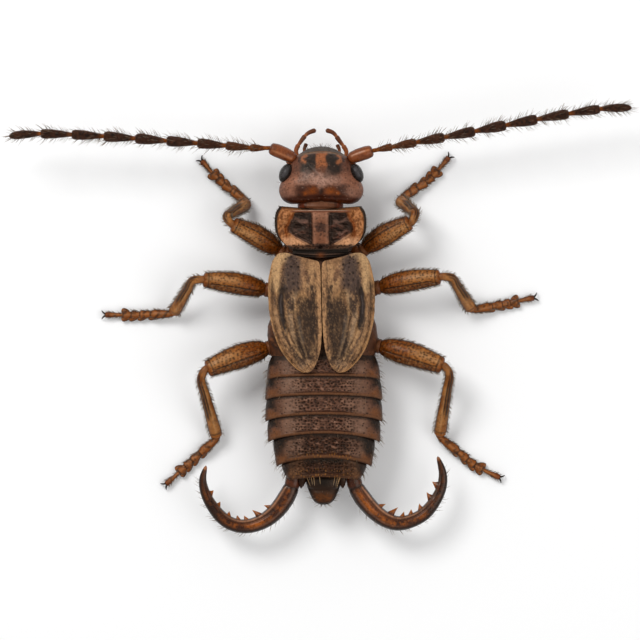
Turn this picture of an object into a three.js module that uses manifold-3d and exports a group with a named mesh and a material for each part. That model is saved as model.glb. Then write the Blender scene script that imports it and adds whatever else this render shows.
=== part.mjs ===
// A life-size still model of a large earwig that stands on its six feet, in millimetres.
// +X is the animal's right side, +Y runs towards its head and +Z is up. The soles are at z = 0.

import * as THREE from "three";
import { mergeVertices } from "three/addons/utils/BufferGeometryUtils.js";
import Module from "manifold-3d";

const wasm = await Module();
wasm.setup();
const { Manifold } = wasm;

// Driving dimensions

const GAP = 0.1; // between neighbouring pieces
const LEAN = 0.1; // sideways shift of the body's axis, to the left at the head and to the right at the tail
const LEAN_LENGTH = 4; // the stretch of the body over which that shift comes in
const WELD = 1e-4; // vertices closer than this are one
const BLOCK = 60; // side of the block that cuts the soles flat

// Trunk sections from front to rear: [y, half width, top z, underside z]
const HEAD = [
  [10.65, 0.34, 2.75, 2.35],
  [10.5, 0.84, 3.0, 2.1],
  [10.18, 1.36, 3.38, 1.92],
  [9.7, 1.82, 3.76, 1.75],
  [9.1, 2.1, 4.06, 1.62],
  [8.5, 2.42, 4.2, 1.58],
  [7.95, 2.61, 4.2, 1.62],
  [7.5, 2.46, 4.06, 1.8],
  [7.22, 1.86, 3.8, 2.15],
  [7.12, 1.1, 3.45, 2.5],
];
const NECK = [
  [7.7, 1.2, 3.5, 2.3],
  [6.4, 1.45, 3.6, 2.1],
];
const PROTHORAX = [
  [6.75, 1.5, 3.6, 2.0],
  [6.3, 1.95, 3.74, 1.7],
  [5.5, 2.15, 3.84, 1.5],
  [4.7, 2.1, 3.84, 1.5],
  [4.3, 1.8, 3.74, 1.65],
];
const MESOTHORAX = [
  [4.02, 1.9, 3.5, 1.9],
  [3.6, 2.55, 3.74, 1.5],
  [2.6, 2.84, 3.9, 1.3],
  [1.05, 2.9, 3.92, 1.22],
];
const METATHORAX = [
  [0.95, 2.9, 3.92, 1.22],
  [-0.4, 3.06, 3.9, 1.18],
  [-1.1, 3.34, 3.88, 1.16],
  [-1.7, 3.4, 3.88, 1.16],
  [-2.32, 3.32, 3.86, 1.16],
];
const PYGIDIUM = [
  [-9.93, 1.0, 3.1, 1.9],
  [-10.3, 1.08, 3.2, 1.85],
  [-10.7, 0.86, 3.1, 1.95],
  [-11.15, 0.76, 2.95, 2.05],
  [-11.42, 0.56, 2.8, 2.2],
  [-11.58, 0.2, 2.6, 2.4],
];
const BODY_ROUND = 2.3; // exponent of the trunk's cross-section, where 2 is an ellipse

// Abdomen rings: [y of the front edge, half width in front, half width at the rear corners, top, underside]
const RINGS = [
  [-2.42, 3.26, 3.46, 3.96, 1.14],
  [-3.57, 3.42, 3.58, 4.1, 1.1],
  [-4.74, 3.48, 3.58, 4.16, 1.08],
  [-5.95, 3.42, 3.42, 4.12, 1.1],
  [-7.13, 3.14, 2.92, 4.02, 1.2],
  [-8.62, 2.62, 2.22, 3.84, 1.34],
];
const ABDOMEN_END = -9.83;
const RING_STEP = 0.1; // how far each ring's rear edge stands over the next ring
const RING_BOW = [0.06, 0.12, 0.2, 0.32, 0.42, 0.42, 0.2]; // how far an edge's sides trail its middle
const CORNER = 0.16; // reach of the point at each rear corner

// Shield over the first thoracic segment: half widths from rear to front, and the edges
const SHIELD_HALF_WIDTHS = [2.3, 2.7, 2.82, 2.84, 2.78, 2.6];
const SHIELD_REAR = 4.24;
const SHIELD_FRONT = 6.72;
const SHIELD_CROWN = 4.46;
const SHIELD_MARGIN = 3.78;
const SHIELD_THICK = 0.42;
const SHIELD_CORNER_BACK = 0.24; // how far the rear corners lie in front of the rear edge's middle
const SHIELD_EAR = 0.16; // how far the front corners reach past the front edge's middle

// Wing cases: [y, inner edge, outer edge] measured from the midline
const WING_CASE = [
  [4.0, 2.2, 2.46],
  [3.78, 1.4, 2.84],
  [3.48, 0.16, 3.0],
  [2.62, 0.07, 3.18],
  [1.24, 0.05, 3.28],
  [0.0, 0.05, 3.22],
  [-1.36, 0.07, 2.86],
  [-2.42, 0.24, 2.34],
  [-3.05, 0.52, 1.74],
  [-3.35, 0.88, 1.24],
];
const CASE_SPAN = 3.36; // half width of the dome that the cases lie on
const CASE_EDGE_Z = 2.6;
const CASE_CROWN_Z = 4.6;
const CASE_ROUND = 2.7;
const CASE_THICK = 0.42;

// Plate between the shield and the wing cases
const SCUTELLUM = { front: 4.1, rear: 3.86, half: 1.6, z: 3.96, rise: 0.2 };

// Eyes: centre from the midline, half length, half thickness, half height and turn about the upright
const EYE = { x: 2.24, y: 8.96, z: 3.12, long: 0.56, deep: 0.36, tall: 0.56, turn: 0.42 };

// Feelers: the first, thick joint from the head to its end, then the path of the whip
const FEELERS = {
  left: {
    root: [-1.5, 9.86, 2.9],
    end: [-3.3, 10.58, 3.06],
    whip: [
      [-3.5, 10.52, 3.08],
      [-7.74, 10.87, 3.3],
      [-13.53, 11.28, 3.7],
      [-17.42, 11.43, 3.9],
      [-19.37, 11.28, 3.95],
    ],
  },
  right: {
    root: [1.5, 9.88, 2.9],
    end: [3.22, 10.4, 3.06],
    whip: [
      [3.42, 10.44, 3.08],
      [7.56, 11.23, 3.3],
      [13.32, 12.33, 3.7],
      [17.15, 12.95, 3.9],
      [19.16, 13.04, 3.95],
    ],
  },
};
const SCAPE_RADIUS = 0.36;
const WHIP_JOINTS = [0.93, 1.47, 1.78, 1.9, 1.94, 1.97, 1.96, 1.93, 1.96]; // lengths of the whip's joints
const WHIP_NECK = 0.17;
const WHIP_BEAD = 0.29;

// Mouth feelers: paths and radii
const LONG_PALPS = {
  left: [[-1.62, 10.1, 2.2], [-1.5, 10.78, 2.15], [-0.92, 11.5, 2.1], [-0.42, 11.68, 2.05]],
  right: [[1.5, 10.05, 2.2], [1.4, 10.72, 2.15], [0.74, 11.48, 2.1], [0.26, 11.66, 2.05]],
};
const SHORT_PALPS = {
  left: [[-0.86, 10.0, 1.75], [-1.06, 10.5, 1.72], [-0.96, 10.84, 1.7]],
  right: [[0.84, 10.0, 1.75], [1.04, 10.46, 1.72], [0.94, 10.78, 1.7]],
};
const PALP_RADIUS = 0.24;
const MOUTH = { front: 10.58, rear: 9.3, half: 0.7, z: 1.78, deep: 0.42 };

// Pincers: axis seen from above, then width along it, and the reach of each tooth from the axis
const PINCERS = {
  left: {
    axis: [
      [-1.76, -10.0],
      [-2.1, -10.96],
      [-2.8, -11.96],
      [-3.6, -12.54],
      [-4.88, -12.9],
      [-6.12, -12.46],
      [-7.1, -11.16],
      [-7.4, -9.98],
      [-7.2, -9.18],
    ],
    teeth: [0.74, 0.88, 0.64, 0.6, 0.56, 0.52, 0.48],
    inward: 1,
  },
  right: {
    axis: [
      [1.92, -10.02],
      [2.34, -10.94],
      [2.86, -11.6],
      [3.6, -12.28],
      [4.74, -12.76],
      [5.98, -12.44],
      [7.02, -11.38],
      [7.5, -9.7],
      [7.18, -8.62],
    ],
    teeth: [0.78, 0.96, 0.66, 0.64, 0.64, 0.66, 0.6],
    inward: -1,
  },
};
const PINCER_HALF_WIDTHS = [0.46, 0.52, 0.49, 0.44, 0.41, 0.38, 0.33, 0.26, 0.05];
const PINCER_Z = [2.35, 2.24, 2.12, 2.04, 2.0, 2.02, 2.1, 2.2, 2.28];
const PINCER_FLAT = 0.86; // height over width
const TOOTH_PLACES = [0.25, 0.36, 0.46, 0.53, 0.61, 0.72, 0.81];
const TOOTH_RADIUS = 0.19;

// Legs, seen from above: joints from the body outwards, then the middle and the tip of the foot
const LEGS = {
  fore_left: {
    root: [-1.25, 4.75],
    hip: [-2.6, 4.24],
    knee: [-5.5, 5.8],
    bend: [-5.92, 6.34],
    ankle: [-4.72, 7.1],
    foot: [-6.1, 8.36],
    tip: [-7.4, 9.76],
  },
  fore_right: {
    root: [1.2, 4.8],
    hip: [2.6, 4.44],
    knee: [5.44, 5.94],
    bend: [5.8, 6.56],
    ankle: [4.9, 7.3],
    foot: [6.5, 8.52],
    tip: [7.83, 9.96],
  },
  mid_left: {
    root: [-1.6, 1.35],
    hip: [-3.5, 1.78],
    knee: [-7.3, 2.36],
    bend: [-7.96, 2.3],
    ankle: [-9.2, 0.34],
    foot: [-11.6, 0.24],
    tip: [-13.45, 0.2],
  },
  mid_right: {
    root: [1.6, 1.45],
    hip: [3.56, 1.98],
    knee: [7.3, 2.54],
    bend: [8.0, 2.46],
    ankle: [9.16, 0.56],
    foot: [11.5, 0.92],
    tip: [13.16, 1.26],
  },
  hind_left: {
    root: [-1.7, -1.1],
    hip: [-3.4, -1.86],
    knee: [-7.1, -3.16],
    bend: [-7.5, -3.8],
    ankle: [-6.5, -7.36],
    foot: [-8.3, -9.12],
    tip: [-9.66, -10.32],
  },
  hind_right: {
    root: [1.8, -1.0],
    hip: [3.6, -1.74],
    knee: [7.46, -2.96],
    bend: [7.92, -3.52],
    ankle: [7.3, -7.26],
    foot: [9.4, -9.1],
    tip: [11.04, -9.94],
  },
};
const HIP_Z = 1.95;
const ROOT_Z = 1.4;
const KNEE_Z = 2.95;
const ANKLE_Z = 0.72;
const SOLE_AXIS_Z = 0.25; // height of the foot's axis over the ground
const COXA_RADIUS = 0.52;

// Thigh and shin: rows of [share along, half width]
const THIGH = [[0, 0.42], [0.12, 0.55], [0.3, 0.64], [0.45, 0.66], [0.7, 0.6], [0.92, 0.49], [1, 0.42]];
const HIND_THIGH = 1.1; // how much thicker the hind thighs are
const SHIN = [[0, 0.27], [0.12, 0.25], [0.3, 0.27], [0.6, 0.31], [0.9, 0.37], [1, 0.32]];

const PAD_ENDS = [0.36, 0.52, 0.65, 0.77]; // where each of the foot's pads ends along it
const PAD_HALF_WIDTHS = [0.3, 0.31, 0.32, 0.36];
const PAD_WAIST = 0.19;
const TOE_RADIUS = 0.2;
const CLAW = { long: 0.42, spread: 0.3, radius: 0.1, drop: 0.1 };

const UP = new THREE.Vector3(0, 0, 1);
const AHEAD = new THREE.Vector3(0, 1, 0);

// Finishes

const finish = (color, roughness) => new THREE.MeshStandardMaterial({ color, roughness, metalness: 0 });
const HEAD_BROWN = finish(0x6e3a24, 0.4);
const EYE_BLACK = finish(0x1c1b1e, 0.2);
const SHIELD_BROWN = finish(0x6a4a35, 0.6);
const CASE_STRAW = finish(0x9a7448, 0.6);
const ABDOMEN_BROWN = finish(0x4a3326, 0.5);
const FEELER_BROWN = finish(0x3c2418, 0.6);
const LEG_AMBER = finish(0x8a5a30, 0.5);
const PINCER_CHESTNUT = finish(0x4c2614, 0.3);

// Helpers

/** The body's axis, which leans a little, at y. */
const midline = (y) => -LEAN * Math.tanh(y / LEAN_LENGTH);

/** A cosine or sine bent towards a square section. A power of 2 leaves it as it is. */
const squared = (c, power) => Math.sign(c) * Math.abs(c) ** (2 / power);

/** Catmull-Rom value of a list of equal rows, with u from 0 on the first row to 1 on the last. */
function between(rows, u) {
  const place = THREE.MathUtils.clamp(u, 0, 1) * (rows.length - 1);
  const i = Math.min(Math.floor(place), rows.length - 2);
  const f = place - i;
  const row = (k) => rows[THREE.MathUtils.clamp(k, 0, rows.length - 1)];
  return rows[0].map((_, column) => {
    const [a, b, c, d] = [-1, 0, 1, 2].map((step) => row(i + step)[column]);
    const bend = 2 * a - 5 * b + 4 * c - d + f * (3 * (b - c) + d - a);
    return b + 0.5 * f * (c - a + f * bend);
  });
}

/** A closed solid through cross-sections, each square to the way that it faces, with flat ends. */
function loft(sections, sides) {
  const shape = new THREE.CylinderGeometry(1, 1, 1, sides, sections.length - 1);
  const place = shape.attributes.position;
  const v = new THREE.Vector3();
  const side = new THREE.Vector3();
  const over = new THREE.Vector3();
  for (let i = 0; i < place.count; i += 1) {
    v.fromBufferAttribute(place, i);
    const s = sections[Math.round((v.y + 0.5) * (sections.length - 1))];
    const reach = Math.hypot(v.x, v.z);
    const turn = Math.atan2(v.z, v.x);
    const across = reach * s.wide * squared(Math.cos(turn), s.power);
    const lift = reach * (v.z > 0 ? s.up : s.down) * squared(Math.sin(turn), s.power);
    side.crossVectors(s.along, UP).normalize();
    over.crossVectors(side, s.along).normalize();
    v.copy(s.at).addScaledVector(side, across).addScaledVector(over, lift);
    place.setXYZ(i, v.x, v.y, v.z);
  }
  return shape;
}

/** The cross-sections of a stretch of the trunk, from its rows of sizes, all larger by grow. */
function trunkSections(rows, count, grow = 0) {
  const sections = [];
  for (let k = 0; k < count; k += 1) {
    const [y, wide, top, low] = between(rows, 1 - k / (count - 1));
    const z = (top + low) / 2;
    const end = k === 0 ? -grow : k === count - 1 ? grow : 0;
    sections.push({
      at: new THREE.Vector3(midline(y), y + end, z),
      along: AHEAD,
      wide: wide + grow,
      up: top - z + grow,
      down: z - low + grow,
      power: BODY_ROUND,
    });
  }
  return sections;
}

/** A limb along a path. Sizes are rows of [share along, half width]; flat is its height over its width. */
function limbSections(points, sizes, { flat = 1, first = null } = {}) {
  const path = new THREE.CatmullRomCurve3(points.map((p) => new THREE.Vector3(...p)));
  return sizes.map(([t, radius], k) => ({
    at: path.getPointAt(t),
    along: k === 0 && first ? first : path.getTangentAt(t),
    wide: radius,
    up: radius * flat,
    down: radius * flat,
    power: 2,
  }));
}

/** The solid of a geometry, with its shared vertices merged. */
function solid(shape) {
  shape.deleteAttribute("normal");
  shape.deleteAttribute("uv");
  const merged = mergeVertices(shape, WELD);
  return new Manifold(
    new wasm.Mesh({
      numProp: 3,
      vertProperties: new Float32Array(merged.attributes.position.array),
      triVerts: new Uint32Array(merged.index.array),
    }),
  );
}

/** A sheet over a grid: surface(u, v, depth) gives the point. Depth is 0 on its outer face and 1 inside. */
function sheet(surface, across, along) {
  const shape = new THREE.BoxGeometry(1, 1, 1, across, along, 1);
  const place = shape.attributes.position;
  for (let i = 0; i < place.count; i += 1) {
    const point = surface(place.getX(i) + 0.5, place.getY(i) + 0.5, 0.5 - place.getZ(i));
    place.setXYZ(i, point[0], point[1], point[2]);
  }
  return shape;
}

const model = new THREE.Group();

/** Adds the largest closed surface of a solid to the model, as a named mesh. */
function add(name, body, material) {
  const largest = body.decompose().sort((a, b) => b.volume() - a.volume())[0];
  const { vertProperties, triVerts } = largest.getMesh();
  const shape = new THREE.BufferGeometry();
  shape.setAttribute("position", new THREE.BufferAttribute(vertProperties, 3));
  shape.setIndex(new THREE.BufferAttribute(triVerts, 1));
  shape.computeVertexNormals();
  const mesh = new THREE.Mesh(shape, material);
  mesh.name = name;
  model.add(mesh);
}

/** A solid with each of the others cut from it. */
const cut = (body, ...others) => others.reduce((rest, other) => rest.subtract(other), body);

// Head, eyes and mouth

function eyeball(side, grow) {
  const ball = new THREE.SphereGeometry(1, 12, 8);
  ball.scale(EYE.deep + grow, EYE.long + grow, EYE.tall + grow);
  ball.rotateZ(-side * EYE.turn);
  ball.translate(midline(EYE.y) + side * EYE.x, EYE.y, EYE.z);
  return solid(ball);
}

const headGrown = solid(loft(trunkSections(HEAD, 14, GAP), 20));

function addHead() {
  const skull = solid(loft(trunkSections(HEAD, 14), 20));
  add("head", cut(skull, eyeball(-1, GAP), eyeball(1, GAP)), HEAD_BROWN);
  add("eye_left", eyeball(-1, 0), EYE_BLACK);
  add("eye_right", eyeball(1, 0), EYE_BLACK);
}

function addMouth() {
  const rows = [0, 0.35, 0.75, 1].map((t) => [
    THREE.MathUtils.lerp(MOUTH.front, MOUTH.rear, t),
    MOUTH.half * (0.55 + 0.45 * Math.sin(Math.PI * (0.2 + 0.6 * t))),
    MOUTH.z + MOUTH.deep,
    MOUTH.z - MOUTH.deep * (0.6 + 0.4 * Math.sin(Math.PI * t)),
  ]);
  const jaws = cut(solid(loft(trunkSections(rows, 5), 10)), headGrown);
  add("mouthparts", jaws, HEAD_BROWN);
  const mouthGrown = solid(loft(trunkSections(rows, 5, GAP), 10));
  const long = [[0, 0.24], [0.3, 0.22], [0.36, 0.25], [0.6, 0.21], [0.66, 0.24], [0.9, 0.2], [1, 0.1]];
  const short = [[0, 0.24], [0.5, 0.22], [0.6, 0.25], [0.9, 0.2], [1, 0.1]];
  for (const side of ["left", "right"]) {
    const longer = solid(loft(limbSections(LONG_PALPS[side], long), 8));
    const shorter = solid(loft(limbSections(SHORT_PALPS[side], short), 8));
    add(`palp_long_${side}`, cut(longer, headGrown, mouthGrown), LEG_AMBER);
    add(`palp_short_${side}`, cut(shorter, headGrown, mouthGrown), LEG_AMBER);
  }
}

// Feelers: a thick first joint and a whip of nine beads

function addFeeler(side) {
  const { root, end, whip } = FEELERS[side];
  const scape = [[0, 0.6], [0.3, 0.9], [0.7, 1], [0.92, 0.86], [1, 0.55]];
  const sizes = scape.map(([t, share]) => [t, share * SCAPE_RADIUS]);
  add(`feeler_base_${side}`, cut(solid(loft(limbSections([root, end], sizes), 10)), headGrown), LEG_AMBER);
  const total = WHIP_JOINTS.reduce((sum, joint) => sum + joint, 0);
  const beads = [];
  let start = 0;
  for (const joint of WHIP_JOINTS) {
    const tail = start + joint === total ? 0.6 : 1;
    for (const [t, share] of [[0, 0], [0.2, 0.55], [0.84, 1]]) {
      beads.push([(start + t * joint) / total, WHIP_NECK + share * tail * (WHIP_BEAD - WHIP_NECK)]);
    }
    start += joint;
  }
  beads.push([1, WHIP_NECK * 0.6]);
  const first = new THREE.Vector3(...end).sub(new THREE.Vector3(...root)).normalize();
  add(`feeler_whip_${side}`, solid(loft(limbSections(whip, beads, { first }), 8)), FEELER_BROWN);
}

// Thorax: neck, three segments, the shield, the plate behind it and the wing cases

function shieldSurface(grow) {
  return (u, v, depth) => {
    const x = 2 * u - 1;
    const [half] = between(SHIELD_HALF_WIDTHS.map((w) => [w]), v);
    const rear = SHIELD_REAR + SHIELD_CORNER_BACK * x ** 4 - grow;
    const front = SHIELD_FRONT + SHIELD_EAR * x ** 8 + grow;
    const y = THREE.MathUtils.lerp(rear, front, v);
    const rim = THREE.MathUtils.smoothstep(Math.abs(x), 0.45, 0.82);
    const top = THREE.MathUtils.lerp(SHIELD_CROWN, SHIELD_MARGIN, rim) - 0.12 * (2 * v - 1) ** 4;
    const z = top + grow - depth * (SHIELD_THICK + 2 * grow);
    return [midline(y) + x * (half + grow), y, z];
  };
}

function addThorax() {
  const shieldGrown = solid(sheet(shieldSurface(GAP), 10, 6));
  const prothoraxGrown = solid(loft(trunkSections(PROTHORAX, 7, GAP), 16));
  const neck = solid(loft(trunkSections(NECK, 3), 14));
  add("neck", cut(neck, headGrown, prothoraxGrown, shieldGrown), LEG_AMBER);
  add("shield", solid(sheet(shieldSurface(0), 10, 6)), SHIELD_BROWN);
  add("prothorax", solid(loft(trunkSections(PROTHORAX, 7), 16)), ABDOMEN_BROWN);
  add("mesothorax", solid(loft(trunkSections(MESOTHORAX, 6), 20)), ABDOMEN_BROWN);
  add("metathorax", solid(loft(trunkSections(METATHORAX, 6), 20)), ABDOMEN_BROWN);
  const { front, rear, half, z, rise } = SCUTELLUM;
  const plate = sheet((u, v, depth) => {
    const y = THREE.MathUtils.lerp(rear, front, v);
    const x = 2 * u - 1;
    return [midline(y) + x * half, y, z + (1 - depth) * rise - 0.1 * x * x + 0.12];
  }, 6, 2);
  add("scutellum", solid(plate), SHIELD_BROWN);
}

function addWingCase(side, hand) {
  const surface = (u, v, depth) => {
    const [y, inner, outer] = between(WING_CASE, 1 - v);
    const turn = (x) => Math.acos(Math.min(x / CASE_SPAN, 1) ** (CASE_ROUND / 2));
    const across = hand > 0 ? u : 1 - u;
    const angle = THREE.MathUtils.lerp(turn(inner), turn(outer), across);
    const thick = depth * CASE_THICK;
    const x = (CASE_SPAN - thick) * squared(Math.cos(angle), CASE_ROUND);
    const rise = (CASE_CROWN_Z - CASE_EDGE_Z - thick) * squared(Math.sin(angle), CASE_ROUND);
    return [midline(y) + hand * Math.max(x, inner), y, CASE_EDGE_Z + rise];
  };
  add(`wing_case_${side}`, solid(sheet(surface, 8, 14)), CASE_STRAW);
}

// Abdomen: six rings, the last of them the base of the pincers, and the end plate between these

function addAbdomen() {
  RINGS.forEach(([front, wideFront, wideRear, top, low], k) => {
    const next = RINGS[k + 1];
    const rear = (next ? next[0] : ABDOMEN_END) + GAP;
    const [topEnd, lowEnd] = next ? [next[3] + RING_STEP, next[4] - RING_STEP] : [top - 0.25, low + 0.2];
    const rows = [
      [front, wideFront, top, low],
      [front + 0.35 * (rear - front), (wideFront + wideRear) / 2, (top + topEnd) / 2, (low + lowEnd) / 2],
      [rear + 0.22, wideRear - 0.04, topEnd, lowEnd],
      [rear, wideRear - 0.08, topEnd - 0.06, lowEnd + 0.06],
    ];
    const shape = loft(trunkSections(rows, 4), 28);
    const place = shape.attributes.position;
    for (let i = 0; i < place.count; i += 1) {
      const y = place.getY(i);
      const share = THREE.MathUtils.clamp(Math.abs(place.getX(i) - midline(y)) / wideRear, 0, 1);
      const reach = (y - front) / (rear - front);
      const bow = THREE.MathUtils.lerp(RING_BOW[k], RING_BOW[k + 1], reach) * share ** 2;
      const point = reach > 0.9 ? CORNER * share ** 12 : 0;
      place.setX(i, place.getX(i) + Math.sign(place.getX(i)) * point * 0.6);
      place.setY(i, y - bow - (next ? 0.25 * point : 0));
    }
    add(`abdomen_${k + 1}`, solid(shape), ABDOMEN_BROWN);
  });
  add("end_plate", solid(loft(trunkSections(PYGIDIUM, 8), 14)), PINCER_CHESTNUT);
}

// Pincers with their teeth

function addPincer(side) {
  const { axis, teeth, inward } = PINCERS[side];
  const points = axis.map(([x, y], k) => [x, y, PINCER_Z[k]]);
  const path = new THREE.CatmullRomCurve3(points.map((p) => new THREE.Vector3(...p)));
  const count = 22;
  const sizes = [];
  for (let k = 0; k <= count; k += 1) {
    const t = k / count;
    const [radius] = between(PINCER_HALF_WIDTHS.map((w) => [w]), t);
    sizes.push([t, radius]);
  }
  const first = AHEAD.clone().negate();
  let blade = solid(loft(limbSections(points, sizes, { flat: PINCER_FLAT, first }), 12));
  TOOTH_PLACES.forEach((t, k) => {
    const root = path.getPointAt(t);
    const along = path.getTangentAt(t);
    const into = new THREE.Vector3().crossVectors(UP, along).normalize().multiplyScalar(-inward);
    const lean = into.clone().addScaledVector(along, 0.35).normalize();
    const tip = root.clone().addScaledVector(lean, teeth[k]);
    const sunk = root.clone().addScaledVector(lean, 0.08);
    const thorn = [[0, TOOTH_RADIUS], [0.45, TOOTH_RADIUS * 0.8], [1, 0.03]];
    const spike = solid(loft(limbSections([sunk.toArray(), tip.toArray()], thorn), 7));
    blade = blade.add(spike);
  });
  add(`pincer_${side}`, blade, PINCER_CHESTNUT);
}

// Legs: hip, thigh, shin and foot, each square to the way that the last one ends

function addLeg(name, leg, trunk) {
  const place = (key, z) => [...leg[key], z];
  const toVector = (p) => new THREE.Vector3(...p);
  const hip = toVector(place("hip", HIP_Z));
  const knee = toVector(place("knee", KNEE_Z));
  const thighWay = knee.clone().sub(hip).normalize();
  const from = (point, way, distance) => point.clone().addScaledVector(way, distance).toArray();

  const coxaPath = [place("root", ROOT_Z), from(hip, thighWay, -0.5), from(hip, thighWay, -GAP)];
  const coxa = limbSections(coxaPath, [[0, 0.44], [0.35, COXA_RADIUS], [0.75, COXA_RADIUS], [1, 0.42]]);
  add(`coxa_${name}`, cut(solid(loft(coxa, 10)), ...trunk), LEG_AMBER);

  const big = name.startsWith("hind") ? HIND_THIGH : 1;
  const girth = THIGH.map(([t, radius]) => [t, radius * big]);
  const thigh = limbSections([hip.toArray(), knee.toArray()], girth, { flat: 0.86 });
  add(`femur_${name}`, cut(solid(loft(thigh, 10)), ...trunk), LEG_AMBER);

  const bend = place("bend", KNEE_Z - 0.1);
  const ankle = toVector(place("ankle", ANKLE_Z));
  const shinPath = [from(knee, thighWay, GAP), bend, ankle.toArray()];
  const shin = limbSections(shinPath, SHIN, { first: thighWay });
  add(`tibia_${name}`, solid(loft(shin, 10)), LEG_AMBER);

  const shinWay = shin.at(-1).along;
  const heel = from(ankle, shinWay, GAP);
  const footPath = [heel, [...leg.foot, SOLE_AXIS_Z], [...leg.tip, SOLE_AXIS_Z]];
  const pads = [[0, PAD_WAIST]];
  PAD_ENDS.forEach((end, k) => {
    const start = k ? PAD_ENDS[k - 1] : 0;
    pads.push([start + 0.75 * (end - start), PAD_HALF_WIDTHS[k]]);
    pads.push([end, PAD_WAIST]);
  });
  pads.push([0.9, TOE_RADIUS], [1, TOE_RADIUS * 0.7]);
  const foot = limbSections(footPath, pads, { first: shinWay });
  let sole = solid(loft(foot, 8));
  const toe = foot.at(-1);
  for (const hand of [-1, 1]) {
    const out = new THREE.Vector3().crossVectors(toe.along, UP).multiplyScalar(hand * CLAW.spread);
    const root = toe.at.clone().addScaledVector(toe.along, -0.12);
    const mid = root.clone().addScaledVector(toe.along, CLAW.long * 0.5).addScaledVector(out, 0.7);
    const end = root.clone().addScaledVector(toe.along, CLAW.long).add(out).setZ(CLAW.drop);
    const hook = [[0, CLAW.radius], [0.5, CLAW.radius * 0.8], [1, 0.03]];
    sole = sole.add(solid(loft(limbSections([root.toArray(), mid.toArray(), end.toArray()], hook), 5)));
  }
  const ground = new THREE.BoxGeometry(BLOCK, BLOCK, BLOCK);
  ground.translate(0, 0, -BLOCK / 2);
  add(`foot_${name}`, cut(sole, solid(ground)), LEG_AMBER);
}

addHead();
addMouth();
addFeeler("left");
addFeeler("right");
addThorax();
addWingCase("left", -1);
addWingCase("right", 1);
addAbdomen();
addPincer("left");
addPincer("right");
const grownTrunk = (rows) => solid(loft(trunkSections(rows, 6, GAP), 16));
const trunk = [PROTHORAX, MESOTHORAX, METATHORAX].map(grownTrunk);
for (const [name, leg] of Object.entries(LEGS)) {
  addLeg(name, leg, trunk);
}

export default model;
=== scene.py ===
# %% [markdown]
# # A large earwig
#
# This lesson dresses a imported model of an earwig. Every new piece is a surface worked out with numpy:
# rings of points carried along a path, or a sheet over a grid. All sizes are in millimetres and are
# scaled to metres at the moment when a mesh is made.

# %% The frame
import bpy
import numpy as np
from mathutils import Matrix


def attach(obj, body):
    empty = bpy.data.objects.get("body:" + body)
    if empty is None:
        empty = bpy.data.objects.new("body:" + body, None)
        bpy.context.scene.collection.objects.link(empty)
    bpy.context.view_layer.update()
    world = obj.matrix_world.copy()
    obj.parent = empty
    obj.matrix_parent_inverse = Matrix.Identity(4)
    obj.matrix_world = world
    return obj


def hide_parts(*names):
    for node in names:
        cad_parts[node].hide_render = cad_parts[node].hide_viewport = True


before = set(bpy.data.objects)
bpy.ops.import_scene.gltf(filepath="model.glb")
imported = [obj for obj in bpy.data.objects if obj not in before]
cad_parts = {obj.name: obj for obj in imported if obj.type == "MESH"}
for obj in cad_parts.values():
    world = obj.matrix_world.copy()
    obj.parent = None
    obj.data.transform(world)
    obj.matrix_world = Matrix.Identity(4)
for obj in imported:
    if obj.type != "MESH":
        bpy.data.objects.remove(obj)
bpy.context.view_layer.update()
MM = 0.001
SIDES = {"left": -1, "right": 1}
print("nodes in the frame:", len(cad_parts))

# %% [markdown]
# The camera looks straight down, as the photographer's did. A long lens keeps the low feet and the high
# back at one scale, so the picture is 640 pixels of 0.062 mm wide at the height of the back. The light is
# one broad soft box at the upper left, a weaker one opposite, and a pale sky all round.

# %% Camera, floor and light
PIXEL = 0.062
PICTURE = 640 * PIXEL
LENS, SENSOR = 400.0, 36.0
LOOK_AT = np.array([-0.124, -0.124, 3.0])
SKY_STRENGTH = 0.52
SOFT_BOXES = {"key": ((-100, 120, 180), 100, 0.29), "fill": ((130, -40, 170), 160, 0.12)}
FLOOR_HALF, FLOOR_WHITE, FLOOR_ROUGH = 600, 0.98, 0.9


def show(thing):
    """The object, put into the scene."""
    bpy.context.scene.collection.objects.link(thing)


def soft_box(name, place, side, watts):
    """A square lamp at place, turned so that its axis passes through the middle of the floor."""
    data = bpy.data.lights.new(name, "AREA")
    data.shape = "SQUARE"
    data.size = side * MM
    data.energy = watts
    lamp = bpy.data.objects.new(name, data)
    lamp.location = np.array(place) * MM
    aim = -lamp.location.normalized()
    lamp.rotation_euler = aim.to_track_quat("-Z", "Y").to_euler()
    lamp.visible_camera = False
    show(lamp)


camera_data = bpy.data.cameras.new("camera")
camera_data.lens = LENS
camera_data.sensor_width = SENSOR
camera = bpy.data.objects.new("camera", camera_data)
camera.location = (LOOK_AT + [0, 0, PICTURE * LENS / SENSOR]) * MM
show(camera)
bpy.context.scene.camera = camera
bpy.context.scene.view_settings.view_transform = "Standard"

sky = bpy.data.worlds.new("sky")
sky.use_nodes = True
background = sky.node_tree.nodes["Background"]
background.inputs["Color"].default_value = (1.0, 1.0, 1.0, 1.0)
background.inputs["Strength"].default_value = SKY_STRENGTH
bpy.context.scene.world = sky
for name, (place, side, watts) in SOFT_BOXES.items():
    soft_box(name, place, side, watts)

corners = np.array([[-1, -1, 0], [1, -1, 0], [1, 1, 0], [-1, 1, 0]]) * FLOOR_HALF * MM
floor_mesh = bpy.data.meshes.new("floor")
floor_mesh.from_pydata(corners.tolist(), [], [(0, 1, 2, 3)])
floor = bpy.data.objects.new("floor", floor_mesh)
show(floor)
floor_paint = bpy.data.materials.new("floor_paint")
floor_paint.use_nodes = True
floor_shader = floor_paint.node_tree.nodes["Principled BSDF"]
floor_shader.inputs["Base Color"].default_value = (FLOOR_WHITE, FLOOR_WHITE, FLOOR_WHITE, 1)
floor_shader.inputs["Roughness"].default_value = FLOOR_ROUGH
floor_mesh.materials.append(floor_paint)
print("picture width", round(PICTURE, 1), "mm")

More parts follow.
